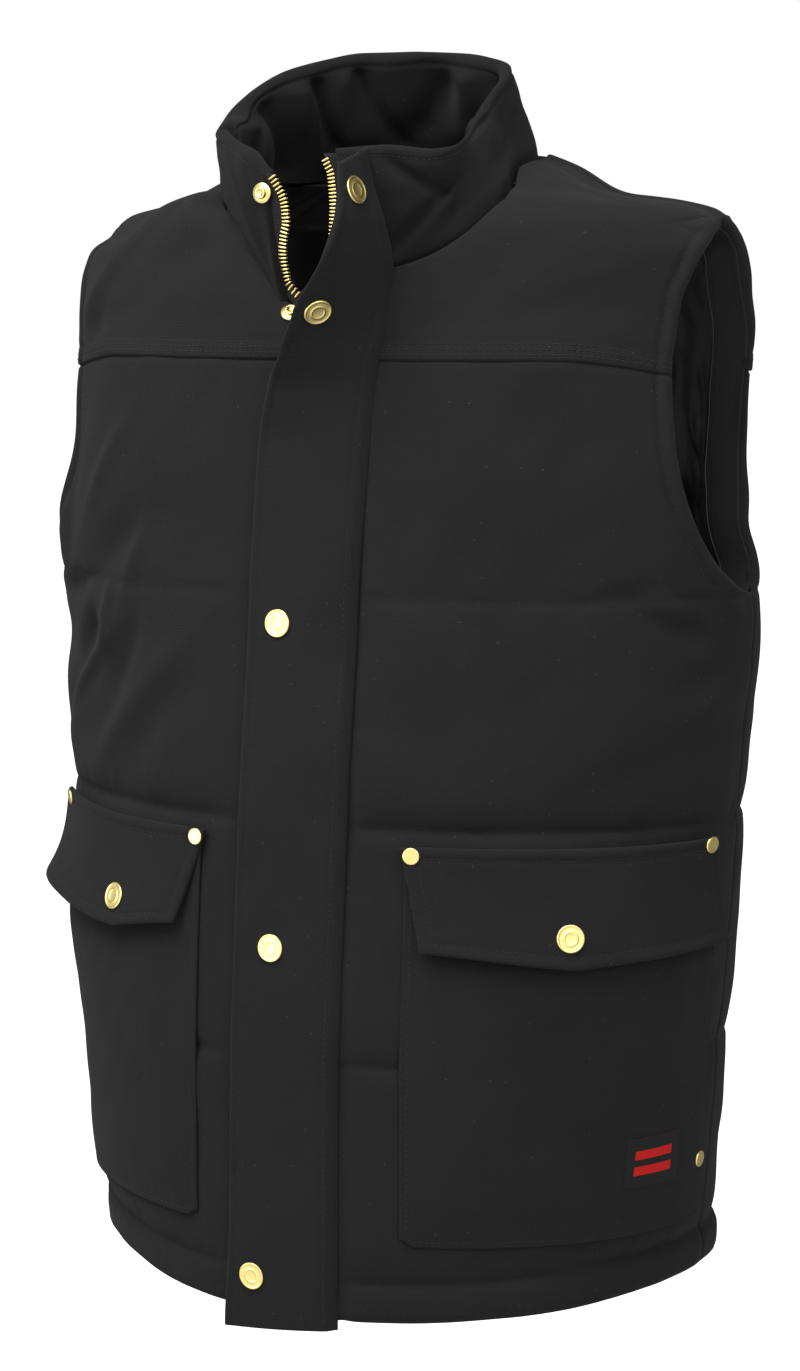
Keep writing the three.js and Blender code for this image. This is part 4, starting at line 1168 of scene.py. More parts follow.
@dataclass(frozen=True)
class Collar:
    """Padded stand collar on the neck seam: s runs from -1 at the right front edge to 1 at the left one."""

    wall: float = 9.0
    swell: float = 2.6
    seam_lift: float = 1.2
    edge_radius: float = 4.5
    tuck: float = -0.16
    row: float = 5.0
    facing: float = 9.0
    fill: float = 0.5

    def columns(self, s: Array) -> list[Array]:
        """Seam angle and top edge at each place, from the left table or the right one."""
        left, right = curves(COLLAR_LEFT), curves(COLLAR_RIGHT)
        share = 1 - np.clip(np.abs(s), 0, 1)
        return [np.where(s < 0, r(share), l(share)) for l, r in zip(left, right)]

    def foot(self, s: Array) -> Array:
        """Point of the neck seam."""
        theta = self.columns(s)[0] * np.where(s < 0, -1, 1)
        return ring(theta, neck(theta) + self.seam_lift)

    def frame(self, s: Array, t: Array) -> tuple[Array, Array, Array]:
        """Middle sheet: straight lines from the seam to the top edge, their outward direction and length."""
        s = s * (1 - 0.005 * np.sin(np.pi * np.clip(t, 0, 1)) * smooth(-s, 0.8, 1.0))
        _, x, y, h = self.columns(s)
        head = np.stack([x * np.where(s < 0, -1, 1), y, h - REST], -1)
        foot = self.foot(s)
        normal = unit(np.cross(head - foot, self.foot(s + 0.01) - self.foot(s - 0.01)))
        return mix(foot, head, t[..., None]), normal, np.linalg.norm(head - foot, axis=-1)

    def roll(self, s: Array, t: Array, tall: Array) -> Array:
        """Roundness of the top edge and of the front edges: 1 on an edge and 0 inside."""
        at_top, at_front = (1 - t) * tall, (1 - np.abs(s)) * 220
        return np.maximum(rolled(at_top, self.edge_radius), rolled(at_front, self.edge_radius))

    def face(self, s: Array, t: Array) -> Array:
        """Outer face: padding that swells between seam and top, with the creases of a bent collar."""
        point, normal, tall = self.frame(s, t)
        around, up = s * COLLAR_AROUND, t * COLLAR_TALL
        full = self.swell * mix(0.35, 1.0, smooth(np.abs(s), 0.45, 0.8))
        lift = full * np.sqrt(np.clip(np.sin(np.pi * np.clip(t, 0, 1)), 0, 1))
        lift = lift + 0.5 * ripples(around, up, 60, 11) + 0.25 * ripples(around, up, 24, 12)
        for crease in COLLAR_CREASES:
            lift = lift + crease.height(s, t)
        lift = lift - 0.9 * bump((1 - t) * tall - self.row, 1.6) - 0.6 * rolled(np.maximum(t, 0) * tall, 5.0)
        lift = lift - 2.8 * bump(s - 0.4, 0.18) * smooth(t, 0.08, 0.4)
        middle = -self.wall / 2
        lift = middle + (lift - middle) * (1 - self.roll(s, t, tall))
        return point + normal * lift[..., None]

    def lining(self, s: Array, t: Array) -> Array:
        """Inner face: the same padding seen from inside, gathered into folds by the bend of the neck."""
        point, normal, tall = self.frame(s, t)
        around, up = s * COLLAR_AROUND, t * COLLAR_TALL
        depth = self.wall + 3.5 * np.sin(np.pi * np.clip(t, 0, 1))
        depth = depth + 1.2 * ripples(around, 0.5 * up, 34, 13)
        for crease in COLLAR_GATHERS:
            depth = depth + crease.height(s, t) * smooth((1 - t) * tall, 4, 12)
        depth = depth - bump((1 - t) * tall - mix(5.0, self.facing, smooth(s, 0.1, 0.4)), 1.1)
        middle = -self.wall / 2
        lift = middle + (-depth - middle) * (1 - self.roll(s, t, tall))
        return point + normal * lift[..., None]

    def build(self) -> None:
        """Lays the collar and the sewn row under its top edge."""
        s = spaced(280, 440, self.edge_radius) * 2 - 1
        t = mix(self.tuck, 1.0, spaced(60, 80, self.edge_radius))
        ss, tt = np.meshgrid(s, t, indexing="ij")
        part = cover(self.face(ss, tt), self.lining(ss, tt))
        # The collar wears the darker canvas with painted shade.
        lay("collar", part, COLLAR_CANVAS_PAINTED_SHADE, "collar")
        line = np.linspace(-0.985, 0.985, 400)
        lay("stitch_collar", SEAM.along(self.face, line, 1 - self.row / self.frame(line, line)[2]), THREAD)


def front_depth(x: Array, h: Array) -> Array:
    """Y of the front near the centre: the body below the neck seam, and the collar's slope above it."""
    start, top_y, top_h = 569.0, -108.0, 640.0
    t = np.clip((h - start) / (top_h - start), 0, 1)
    low = np.minimum(h, start)
    y = ring(angle_at(x, low), low)[..., 1]
    return mix(y, top_y, t) - 2.5 * np.sin(np.pi * t)


# Storm flap: height, X of its sewn edge, its width, and degrees that it stands open
STORM_SEWN, STORM_WIDTH, STORM_OPEN = curves((
    (0, 28, 69, 0), (60, 28.4, 65, 0), (390, 31, 64, 0), (480, 35.5, 62.5, 4), (517, 38, 57, 14),
    (534, 39, 52.5, 31), (549, 39.5, 53.5, 46), (565, 40.5, 58, 62), (582, 41, 54.5, 73),
    (601, 38.5, 43.5, 78), (618, 33, 33, 81.5), (633, 30, 27, 83), (643, 28.5, 19.5, 84),
))
# Snaps: share of the flap's width from its sewn edge, and height
STORM_SNAPS = ((0.742, 34.2), (0.619, 213.6), (0.696, 388.4), (0.771, 559.0), (0.617, 623.1))


@dataclass(frozen=True)
class Seat:
    """Place of a metal piece: a surface, two coordinates on it, and a small step along each."""

    face: Face
    a: float
    b: float
    da: float
    db: float

    def stand(self) -> tuple[Array, Array]:
        """Point of the surface and the direction out of it, away from the body's middle."""
        a, b = np.array([self.a]), np.array([self.b])
        point = self.face(a, b)[0]
        across = self.face(a + self.da, b)[0] - self.face(a - self.da, b)[0]
        up = self.face(a, b + self.db)[0] - self.face(a, b - self.db)[0]
        axis = unit(np.cross(across, up))
        return point, axis * np.sign(axis[0] * point[0] + axis[1] * point[1])


@dataclass(frozen=True)
class StormFlap:
    """Flap over the zipper: sewn on the wearer's left, and curled open towards the collar."""

    thickness: float = 3.2
    lift: float = 1.6
    bottom: float = 4.0
    top: float = 641.0
    top_fall: float = 9.0
    bottom_fall: float = 7.0
    edge_radius: float = 1.7
    free_row: float = 6.0
    sewn_row: float = 6.5
    sewn_in: float = 3.2

    def point(self, s: Array, h: Array, lift: Array) -> Array:
        """Flap turned about its sewn edge: s runs from that edge to the free one, lift out of the flap.

        Args:
            s: share of the width from the sewn edge.
            h: height at the sewn edge; the upper rows fall towards the free edge.
            lift: lift out of the flap.

        Returns:
            Points of the flap.
        """
        h = h - self.top_fall * s * smooth(h, 470, self.top)
        h = h - self.bottom_fall * s * (1 - smooth(h, self.bottom, 130))
        sewn = STORM_SEWN(h)
        x = sewn - STORM_WIDTH(h) * s
        root = front_depth(sewn, h)
        flat_x, flat_y = x - sewn, front_depth(x, h) - root - lift
        c, d = np.cos(np.radians(STORM_OPEN(h))), np.sin(np.radians(STORM_OPEN(h)))
        across, out = flat_x * c - flat_y * d, flat_x * d + flat_y * c
        out = out + self.sewn_in * smooth(s * STORM_WIDTH(h), 6.0, 0.0)
        return np.stack([sewn + across, root - self.lift + out, h - REST + 0 * s], -1)

    def thick(self, s: Array, h: Array) -> Array:
        """Half thickness: full inside, round at all four edges, with a low roll outside each sewn row."""
        width = STORM_WIDTH(h)
        at_free, at_sewn = (1 - s) * width, s * width
        at_end = np.minimum(h - self.bottom, self.top - h)
        roll = np.maximum.reduce([rolled(d, self.edge_radius) for d in (at_free, at_sewn, at_end)])
        half = self.thickness / 2 + 0.5 * bump(at_free - 2.8, 2.0) - 0.45 * bump(at_free - self.free_row, 1.3)
        half = half - 0.9 * bump(at_sewn - self.sewn_row, 1.3) + 0.3 * ripples(s * width, h, 40, 15)
        return half * (1 - roll)

    def face(self, s: Array, h: Array, outer: bool = True) -> Array:
        """Outer or inner face of the flap, wavy along its length, with a soft swell down its middle."""
        half = self.thick(s, h) * (1 if outer else -1)
        sway = 0.7 * ripples(h, 0.6 * s * 60, 120, 16) * s
        belly = 0.9 * np.sin(np.pi * np.clip(s, 0, 1)) * smooth(h, 30, 80)
        return self.point(s, h, self.thickness / 2 + half + sway + belly)

    def build(self) -> None:
        """Lays the flap and its two sewn rows."""
        s = spaced(40, 60, self.edge_radius)
        h = mix(self.bottom, self.top, spaced(320, 638, self.edge_radius))
        ss, hh = np.meshgrid(s, h, indexing="ij")
        outer = self.face(ss, hh)
        piece = lay("storm_flap", cover(outer, self.face(ss, hh, False)), CANVAS, "storm_flap")
        line = np.linspace(self.bottom + 4, self.top - 4, 500)
        rows = [SEAM.along(self.face, 1 - self.free_row / STORM_WIDTH(line), line),
                SEAM.along(self.face, self.sewn_row / STORM_WIDTH(line), line)]
        lay("stitch_storm_flap", merged(rows), THREAD)

    def seats(self) -> dict[str, Seat]:
        """Places of the five snaps."""
        return {f"storm_snap_{i + 1}": Seat(self.face, *place, 0.03, 3.0)
                for i, place in enumerate(STORM_SNAPS)}


# Shares across and down for a flap's two rivets and its snap, and across and up for the pocket's rivet
POCKET_METAL = {
    Side.LEFT: ((0.027, 0.083), (0.948, 0.06), (0.424, 0.733), (0.959, 0.161)),
    Side.RIGHT: ((0.026, 0.082), (0.92, 0.08), (0.311, 0.739), (0.958, 0.15)),
}


@dataclass(frozen=True)
class Pockets:
    """Patch pockets and their flaps; the right ones are turned a little towards the front."""

    thickness: float = 2.2
    top: float = 262.0
    bottom: float = 55.0
    edge_radius: float = 1.3
    flap_thickness: float = 3.0
    flap_top: float = 273.0
    flap_radius: float = 1.6
    row: float = 6.2
    wide: float = 160.0
    tall: float = 205.0
    flap_wide: float = 155.0
    flap_tall: float = 60.0

    def reach(self, side: Side) -> float:
        """Share of the angle that the pocket spans."""
        return 1.0 if side is Side.LEFT else 0.94

    def pocket_place(self, side: Side, u: Array, v: Array) -> tuple[Array, Array]:
        """Angle and height on the pocket: u from the front edge to the side, v from bottom to top."""
        theta = mix(*self.span(side, v), u)
        corner = np.maximum(smooth(u, 0.04, 0.0), smooth(u, 0.955, 1.0)) * 4
        return theta * side.value, mix(self.bottom + corner, self.top, v)

    def span(self, side: Side, v: Array) -> tuple[Array, Array]:
        """Angles of the pocket's front edge and its side edge, without their sign."""
        front = mix(19.6, 17.9, v) if side is Side.LEFT else mix(18.6, 17.2, v)
        return front, mix(87.0, 79.0, v) * self.reach(side)

    def pocket_lift(self, u: Array, v: Array, outer: bool) -> Array:
        """Lift of the pocket's faces: near the panel at the sewn edges, and swollen in the middle."""
        across, up = u * self.wide, v * self.tall
        at = np.minimum.reduce([across, (1 - u) * self.wide, up])
        arch = np.sin(np.pi * np.clip(u, 0, 1)) * np.sin(np.pi * (0.15 + 0.7 * np.clip(v, 0, 1)))
        swell = 2.2 * np.sqrt(np.clip(arch, 0, 1))
        soft = 0.4 * ripples(across, up, 60, 17) + 0.15 * ripples(across, up, 25, 18)
        base = 2.0 + (swell + soft) * smooth(at, 2, 30)
        groove = 0.35 * bump(at - 3.0, 1.2)
        half = self.thickness / 2 * (1 - rolled(at, self.edge_radius))
        return base + half - groove if outer else base - half

    def pocket_face(self, side: Side, outer: bool = True) -> Face:
        """Face of a pocket as a function of u and v."""
        return lambda u, v: on_body(*self.pocket_place(side, u, v), self.pocket_lift(u, v, outer))

    def snap_share(self, side: Side) -> float:
        """Share across the flap at which its snap and its point stand."""
        return 0.43 if side is Side.LEFT else 0.27

    def flap_place(self, side: Side, u: Array, v: Array) -> tuple[Array, Array]:
        """Angle and height on the flap: u from the front corner to the side, v from its seam down."""
        peak = self.snap_share(side)
        tent = np.minimum(u / peak, (1 - u) / (1 - peak))
        low = mix(217.0, 208.5, np.clip(tent, 0, 1) ** 1.25)
        if side is Side.LEFT:
            return mix(mix(17.2, 21.4, v), mix(78.2, 79.5, v), u), mix(self.flap_top, low, v)
        low, high = low + 2.5 + 3.0 * smooth(u, 0.45, 1.0), self.flap_top + 4.0 * smooth(u, 0.4, 1.0)
        return -mix(mix(16.0, 21.0, v), mix(63.0, 74.5, v), u), mix(high, low, v)

    def flap_lift(self, side: Side, u: Array, v: Array, outer: bool) -> Array:
        """Lift of the flap's faces: it stands off towards its lower edge, rolled and sewn along its rim."""
        seat, flare = (3.4, 13.0) if side is Side.LEFT else (1.6, 15.5)
        stand = mix(seat, mix(9.0, flare, u), np.clip(v, 0, 1) ** 2)
        wave = 0.9 * ripples(u * 150, v * self.flap_tall, 70, 19 + side.value) * v
        across = [u * self.flap_wide, (1 - u) * self.flap_wide]
        at = np.minimum.reduce([*across, v * self.flap_tall, (1 - v) * 58])
        half = self.flap_thickness / 2 + 0.45 * bump(at - 3, 2) - 0.4 * bump(at - self.row, 1.3)
        half = half * (1 - rolled(at, self.flap_radius))
        base = stand + wave + self.flap_thickness / 2
        return base + half if outer else base - half

    def flap_face(self, side: Side, outer: bool = True) -> Face:
        """Face of a flap as a function of u and v."""
        return lambda u, v: on_body(*self.flap_place(side, u, v), self.flap_lift(side, u, v, outer))

    def build(self) -> None:
        """Lays both pockets and flaps with their sewn rows."""
        pocket = spaced(109, self.wide, self.edge_radius), spaced(109, self.tall, self.edge_radius)
        flap = spaced(110, self.flap_wide, self.flap_radius), spaced(46, self.flap_tall, self.flap_radius)
        for side in Side:
            self.hang(f"pocket_{side.word}", side, self.pocket_face, pocket, 2)
            self.hang(f"pocket_flap_{side.word}", side, self.flap_face, flap, 1)
            self.sew(side)

    def hang(self, name: str, side: Side, face: Callable[..., Face], shares: tuple[Array, Array],
             step: int) -> None:
        """Lays a pocket or a flap over its front.

        Args:
            name: name of the piece and of its CAD node.
            side: wearer's side.
            face: maker of the piece's outer and inner faces.
            shares: shares across and along.
            step: steps of the outer face to each one of the inner face.
        """
        u, v = np.meshgrid(*shares, indexing="ij")
        outer, inner = face(side)(u, v), face(side, False)(u[::step, ::step], v[::step, ::step])
        piece = lay(name, cover(outer, inner), CANVAS, name)

    def sew(self, side: Side) -> None:
        """Sews the pocket's three edges and a row round the flap, each from one place to another."""
        pocket, flap = self.pocket_face(side), self.flap_face(side)
        near, far, low, high = 0.019, 0.981, 0.035, 0.98
        rows = [(pocket, near, near, low, high), (pocket, far, far, low, high)]
        rows += [(pocket, near, far, 0.0145, 0.0145)]
        near, low = self.row / self.flap_wide, self.row / self.flap_tall
        far, high = 1 - near, 1 - low
        rows += [(flap, near, far, low, low), (flap, near, far, high, high)]
        rows += [(flap, near, near, low, high), (flap, far, far, low, high)]
        run = np.linspace(0, 1, 200)
        sewn = [SEAM.along(face, mix(a, b, run), mix(c, d, run)) for face, a, b, c, d in rows]
        lay(f"stitch_pocket_{side.word}", merged(sewn), THREAD)

    def seats(self) -> dict[str, Seat]:
        """Places of the rivets and snaps on both pockets and flaps."""
        found = {}
        for side in Side:
            spots = POCKET_METAL[side]
            for name, spot in zip(("flap_rivet_{}_1", "flap_rivet_{}_2", "flap_snap_{}"), spots):
                found[name.format(side.word)] = Seat(self.flap_face(side), *spot, 0.02, 0.04)
            found[f"pocket_rivet_{side.word}"] = Seat(self.pocket_face(side), *spots[3], 0.02, 0.02)
        return found


LINING_FOLDS = (
    Fold(122, 505, 70, 30, 5, 1.8), Fold(125, 470, 50, 16, 4, 2.4), Fold(121, 455, -35, 12, 4, -2.2),
    Fold(124, 438, 30, 16, 5, 2.4), Fold(122, 422, -20, 14, 4, -2.0), Fold(127, 488, 75, 22, 5, -2.0),
)


@dataclass(frozen=True)
class Inside:
    """Lining and canvas armhole facings, where they show through the armholes and the neck."""

    gap: float = 3.4
    radius: float = 150.0
    facing: float = 28.0
    lining_armpit: float = 371.0
    lining_tip: float = 623.0
    lining_neck: float = 636.5
    hem_start: float = 26.0
    thickness: float = 1.0

    def spread(self, edge: Curve, h: Array) -> Array:
        """Angle off the side of the facing's far edge: the armhole's outline grown by the strip's width."""
        middle, tall = (ARMPIT + SHOULDER_TIP) / 2, self.lining_tip - self.lining_armpit
        near = middle + (h - middle) * (SHOULDER_TIP - ARMPIT) / tall
        share = np.clip((h - self.lining_armpit) / tall, 0, 1)
        strip = np.degrees((self.facing + 2) / HALF(h))
        return edge(np.clip(near, ARMPIT, SHOULDER_TIP)) + strip * np.sqrt(np.sin(np.pi * share))

    def lining_places(self, side: Side | None, u: Array, v: Array) -> tuple[Array, Array]:
        """Angles and heights of a lining panel: a patch between its hem, armhole, neck and front edge.

        Args:
            side: wearer's side of a front; none for the left half of the back.
            u: shares from the middle of the panel to the side.
            v: shares from the hem upwards.

        Returns:
            Angles from 0 to 180 and heights, with shape (u, v).
        """
        edge, sign, start = (ARM_FRONT, -1, 14.0) if side else (ARM_BACK, 1, 180.0)
        h = mix(self.hem_start, self.lining_tip, v)
        under = self.spread(edge, h) - np.degrees(9 / HALF(h))
        off = np.where(h < self.lining_armpit, 0.0, np.maximum(under, 0)) + 0.6
        right = np.stack([90 + sign * off, h], -1)
        bottom = np.stack([mix(start, right[0, 0], u), self.hem_start + 0 * u], -1)
        top = np.stack([90 + sign * 0.6 + 0 * u, mix(self.lining_neck, self.lining_tip, u)], -1)
        share = np.clip((v - 0.75) / 0.25, 0, 1)
        seam = mix(start, 90 + sign * 0.6, share)
        under = neck(seam * side.value) - 8 if side else self.lining_neck + 3.0
        high = mix(under, self.lining_neck, share)
        first = high[0]
        left = np.stack([seam, np.where(v < 0.75, mix(self.hem_start, first, v / 0.75), high)], -1)
        patch = coons(bottom, top, left, right, u, v)
        return patch[..., 0], patch[..., 1]

    def lining_lift(self, theta: Array, h: Array) -> Array:
        """Lift of the lining: slack cloth with folds that run down it, strongest beside the armhole."""
        around = np.radians(theta) * self.radius
        loose = ripples(around, 0.35 * h, 34, 21) + 0.4 * ripples(around, h, 24, 22)
        past = (np.abs(theta) - 90 - self.spread(ARM_BACK, h)) * around_pace(theta, h)
        beside = smooth(past, 40, -5) * smooth(h, 375, 405) * smooth(h, 622, 604) * (np.abs(theta) > 90)
        loose = np.clip(loose, -2.5, 2.0) * mix(1.0, 0.35, beside)
        loose = loose + sum(fold.height(np.abs(theta), h) for fold in LINING_FOLDS)
        return -WALL - self.gap - 2.5 + loose - 5.5 * beside

    def build(self) -> None:
        """Lays the linings and the two armhole facings."""
        for side in Side:
            theta, h = self.lining_places(side, spaced(36, 200, 3), spaced(80, 600, 3))
            self.hang(f"lining_front_{side.word}", theta * side.value, h, f"front_{side.word}_canvas")
            self.face_armhole(side)
        theta, h = self.lining_places(None, spaced(60, 200, 3), spaced(130, 600, 3))
        theta = np.concatenate([theta[::-1], 360 - theta[1:]])
        self.hang("lining_back", theta, np.concatenate([h[::-1], h[1:]]), "back_panel_canvas")

    def hang(self, name: str, theta: Array, h: Array, panel: str) -> None:
        """Lays one lining panel as thin slack cloth."""
        lift = self.lining_lift(signed(theta), h)
        outer = on_body(theta, h, lift)
        piece = lay(name, cover(outer, on_body(theta, h, lift - self.thickness)), SATIN, name)

    def face_armhole(self, side: Side) -> None:
        """Lays the strip that turns in from the armhole's edge, and the sewn row along its far edge."""
        middle, tall = (ARMPIT + SHOULDER_TIP) / 2, (SHOULDER_TIP - ARMPIT) / 2

        def place(turn: Array, v: Array) -> tuple[Array, Array]:
            """Angle and height: turn runs round the armhole, v from its edge to the lining."""
            low, high = mix(middle - tall, self.lining_armpit + 7, v), mix(middle + tall, SHOULDER_TIP + 5, v)
            h = mix(low, high, (1 - np.cos(turn)) / 2)
            front = np.mod(turn, 2 * np.pi) < np.pi
            near = np.clip(h, ARMPIT, SHOULDER_TIP)
            hole = np.where(front, ARM_FRONT(near), ARM_BACK(near)) * mix(1.0, 1.02, smooth(v, 0.0, 0.2))
            grown = np.where(front, self.spread(ARM_FRONT, h), self.spread(ARM_BACK, h))
            grown = np.maximum(0, grown - np.degrees(2 / HALF(h)))
            return (90 + np.where(front, -1, 1) * mix(hole, grown, v)) * side.value, h

        def face(turn: Array, v: Array, extra: float = 0.0) -> Array:
            """Inner side of the strip, which runs in a slope from the edge to the lining."""
            deep = mix(7.5, 14.5, smooth(-np.sin(turn), 0.1, 0.6))
            lift = -4.2 - deep * np.clip(v, 0, 1) - 0.5 * ripples(turn * 80, v * 28, 26, 24) * v
            return on_body(*place(turn, v), lift - extra)

        turn, v = np.linspace(0, 2 * np.pi, 181)[:-1], spaced(18, 28, 1.5)
        tt, vv = np.meshgrid(turn, v, indexing="ij")
        outer, inner = face(tt, vv), face(tt, vv, self.thickness)
        name = f"armhole_facing_{side.word}"
        # The facings wear the lighter canvas with painted light.
        piece = lay(name, cover(outer, inner, True), FACING_CANVAS_PAINTED_LIGHT, name)
        run = np.linspace(0.02, 2 * np.pi - 0.02, 500)
        inside = lambda a, b: face(a, b, self.thickness)
        rows = [SEAM.along(inside, run, run * 0 + 0.74)]
        lay(f"stitch_armhole_{side.word}", merged(rows), THREAD)


# Zipper: height, and X of the left row of teeth and of the right one
TEETH_LEFT, TEETH_RIGHT = curves((
    (0, 2.2, -2.2), (546, 2.2, -2.2), (556, 4.8, -7.2), (563, 6.4, -13.7), (571, 7.4, -21.3),
    (584, 7.9, -22.4), (594, 8.7, -21.0), (602, 9.5, -18.9), (610, 10, -19.2), (616, 9.9, -20.6),
    (622, 9.4, -24), (627.5, 8.7, -27.4), (632, 6.7, -29.2), (636, 5, -30), (642, 3.5, -31),
))


@dataclass(frozen=True)
class Zipper:
    """Open end of the zipper: a tape from each front edge to a row of brass teeth on a line of its own."""

    bottom: float = 34.0
    pitch: float = 1.95
    under: float = 4.0
    tooth: tuple[float, float, float] = (4.2, 2.4, 1.12)
    depth: float = 2.6

    def top(self, side: Side) -> float:
        """Height of the upper end of a row of teeth."""
        return 636.0 if side is Side.LEFT else 626.0

    def line(self, side: Side, h: Array) -> Array:
        """X of the middle of a row of teeth."""
        return TEETH_LEFT(h) if side is Side.LEFT else TEETH_RIGHT(h)

    def build(self) -> None:
        """Lays the tapes and the teeth."""
        for side in Side:
            rows = np.linspace(self.bottom, self.top(side) + 2, 200)
            share = np.linspace(0, 1, 7)[:, None]
            wide = mix(front_edge(side)(rows) + side.value * self.under, self.line(side, rows), share)
            high = np.broadcast_to(rows, wide.shape)
            deep = front_depth(wide, high) + self.depth + 1.6 * (1 - share) ** 2
            grid = np.stack([wide, deep, high - REST], -1)
            back = grid + np.array([0, 0.8, 0])
            name = f"zipper_tape_{side.word}"
            lay(name, cover(grid, back), TAPE, name)
            self.set_teeth(side)

    def set_teeth(self, side: Side) -> None:
        """Sets the teeth: rounded blocks along the tape's edge, square to its run."""
        first = self.bottom + (self.pitch / 2 if side is Side.RIGHT else 0)
        h = np.arange(first, self.top(side), self.pitch)
        x = self.line(side, h)
        middle = np.stack([x, front_depth(x, h) + self.depth + 0.3, h - REST], -1)
        ahead = unit(np.gradient(middle, axis=0))
        out = np.broadcast_to(np.array([0.0, -1.0, 0.0]), ahead.shape)
        aside = unit(np.cross(ahead, out))
        out = np.cross(aside, ahead)
        wide, thick, tall = self.tooth
        ring_turn = np.radians(np.arange(8) * 45 + 22.5)
        lap = np.clip(np.stack([np.cos(ring_turn), np.sin(ring_turn)], -1) * 1.15, -1, 1)
        share, size = np.array([-1, -0.8, 0.8, 1]), np.array([0.75, 1, 1, 0.75])
        a = (share * wide / 2)[:, None] + 0 * ring_turn
        b, c = np.outer(size, lap[:, 0]) * thick / 2, np.outer(size, lap[:, 1]) * tall / 2
        # Walked against the corners, so the end faces of the teeth point inwards.
        caps = np.array([[3, 2, 1, 0], [7, 4, 3, 0], [7, 6, 5, 4]])
        name = f"zipper_teeth_{side.word}"
        lay(name, prisms(middle, (aside, out, ahead), (a, b, c), caps), BRASS, name)


@dataclass(frozen=True)
class Metal:
    """Pressed brass pieces turned about an axis: the profile is given as radius and height."""

    snap: tuple[tuple[float, float], ...] = (
        (0, 0), (7.0, 0), (7.5, 0.35), (7.7, 0.9), (7.65, 1.5), (7.35, 1.85), (6.9, 1.92), (6.55, 1.78),
        (6.35, 1.62), (6.2, 1.6), (4.5, 1.6), (4.35, 1.62), (4.1, 1.84), (3.7, 1.94), (3.3, 1.84),
        (3.0, 1.66), (2.85, 1.64), (0, 1.64),
    )
    rivet: tuple[tuple[float, float], ...] = (
        (0, 0), (4.3, 0), (4.65, 0.3), (4.7, 0.8), (4.5, 1.2), (4.2, 1.38), (4.0, 1.42), (3.8, 1.43),
        (0, 1.45),
    )
    stud: tuple[tuple[float, float], ...] = (
        (0, 0), (5.4, 0), (5.7, 0.4), (5.3, 0.9), (3.6, 1.0), (3.1, 1.3), (2.9, 2.0), (3.3, 2.6), (3.0, 3.1),
        (2.0, 3.2), (1.8, 2.4), (0, 2.3),
    )
    sunk: float = 0.35

    def build(self, seats: dict[str, Seat]) -> None:
        """Sets every snap, rivet and stud on its seat."""
        for name, seat in seats.items():
            for kind in ("snap", "rivet", "stud"):
                if kind in name:
                    self.set_piece(name, getattr(self, kind), *seat.stand())

    def set_piece(self, name: str, profile: tuple[tuple[float, float], ...], point: Array,
                  axis: Array) -> None:
        """Turns a profile about an axis, a little sunk into the cloth.

        Args:
            name: name of the piece and of its CAD node.
            profile: radius and height of each ring, from the underside's middle to the top's.
            point: point of the cloth.
            axis: direction out of the cloth.
        """
        base = point - axis * self.sunk
        side = unit(np.cross(axis, np.array([0.0, 0.0, 1.0])))
        up = np.cross(side, axis)
        r, z = np.array(profile[1:-1]).T
        turn = np.linspace(0, 2 * np.pi, 41)[:-1]
        across = np.cos(turn)[:, None, None] * side + np.sin(turn)[:, None, None] * up
        rings = (base + across * r[None, :, None] + axis * z[None, :, None]).reshape(-1, 3)
        poles = base + np.outer([profile[0][1], profile[-1][1]], axis)
        points = np.concatenate([rings, poles])
        first, last = borders(len(turn), len(r), True)
        caps = [np.stack([np.roll(loop, -1), loop, np.full(len(loop), len(rings) + i)], -1)
                for i, loop in enumerate((first, last))]
        quads = grid_quads(len(turn), len(r), True)
        flat = (points - base) @ np.stack([side, up], 1) * MM
        lay(name, Part(points, quads, flat, np.concatenate(caps)), BRASS, name)


@dataclass(frozen=True)
class Label:
    """Woven label on the wearer's left pocket, with no words on it."""

    theta: float = 67.0
    h: float = 97.0
    width: float = 36.0
    tall: float = 28.0

    def build(self, pockets: Pockets) -> None:
        """Lays the label on the pocket's face: it follows the pocket half a millimetre above it."""
        pace = float(around_pace(np.array(self.theta), np.array(self.h)))
        half = self.width / 2 / pace
        a, b = np.meshgrid(spaced(20, self.width, 0.4), spaced(16, self.tall, 0.4), indexing="ij")
        theta, h = self.theta + mix(-half, half, a), self.h + mix(-0.5, 0.5, b) * self.tall
        v = (h - pockets.bottom) / (pockets.top - pockets.bottom)
        first, last = pockets.span(Side.LEFT, v)
        u = (theta - first) / (last - first)
        at = np.minimum.reduce([a * self.width, (1 - a) * self.width, b * self.tall, (1 - b) * self.tall])
        base = pockets.pocket_lift(u, v, True) + 0.3
        half_thick = 0.35 * (1 - rolled(at, 0.4))
        outer = on_body(theta, h, base + half_thick)
        part = cover(outer, on_body(theta, h, base - half_thick), False, np.stack([a, b], -1))
        lay("label", part, LABEL_WEAVE, "label")


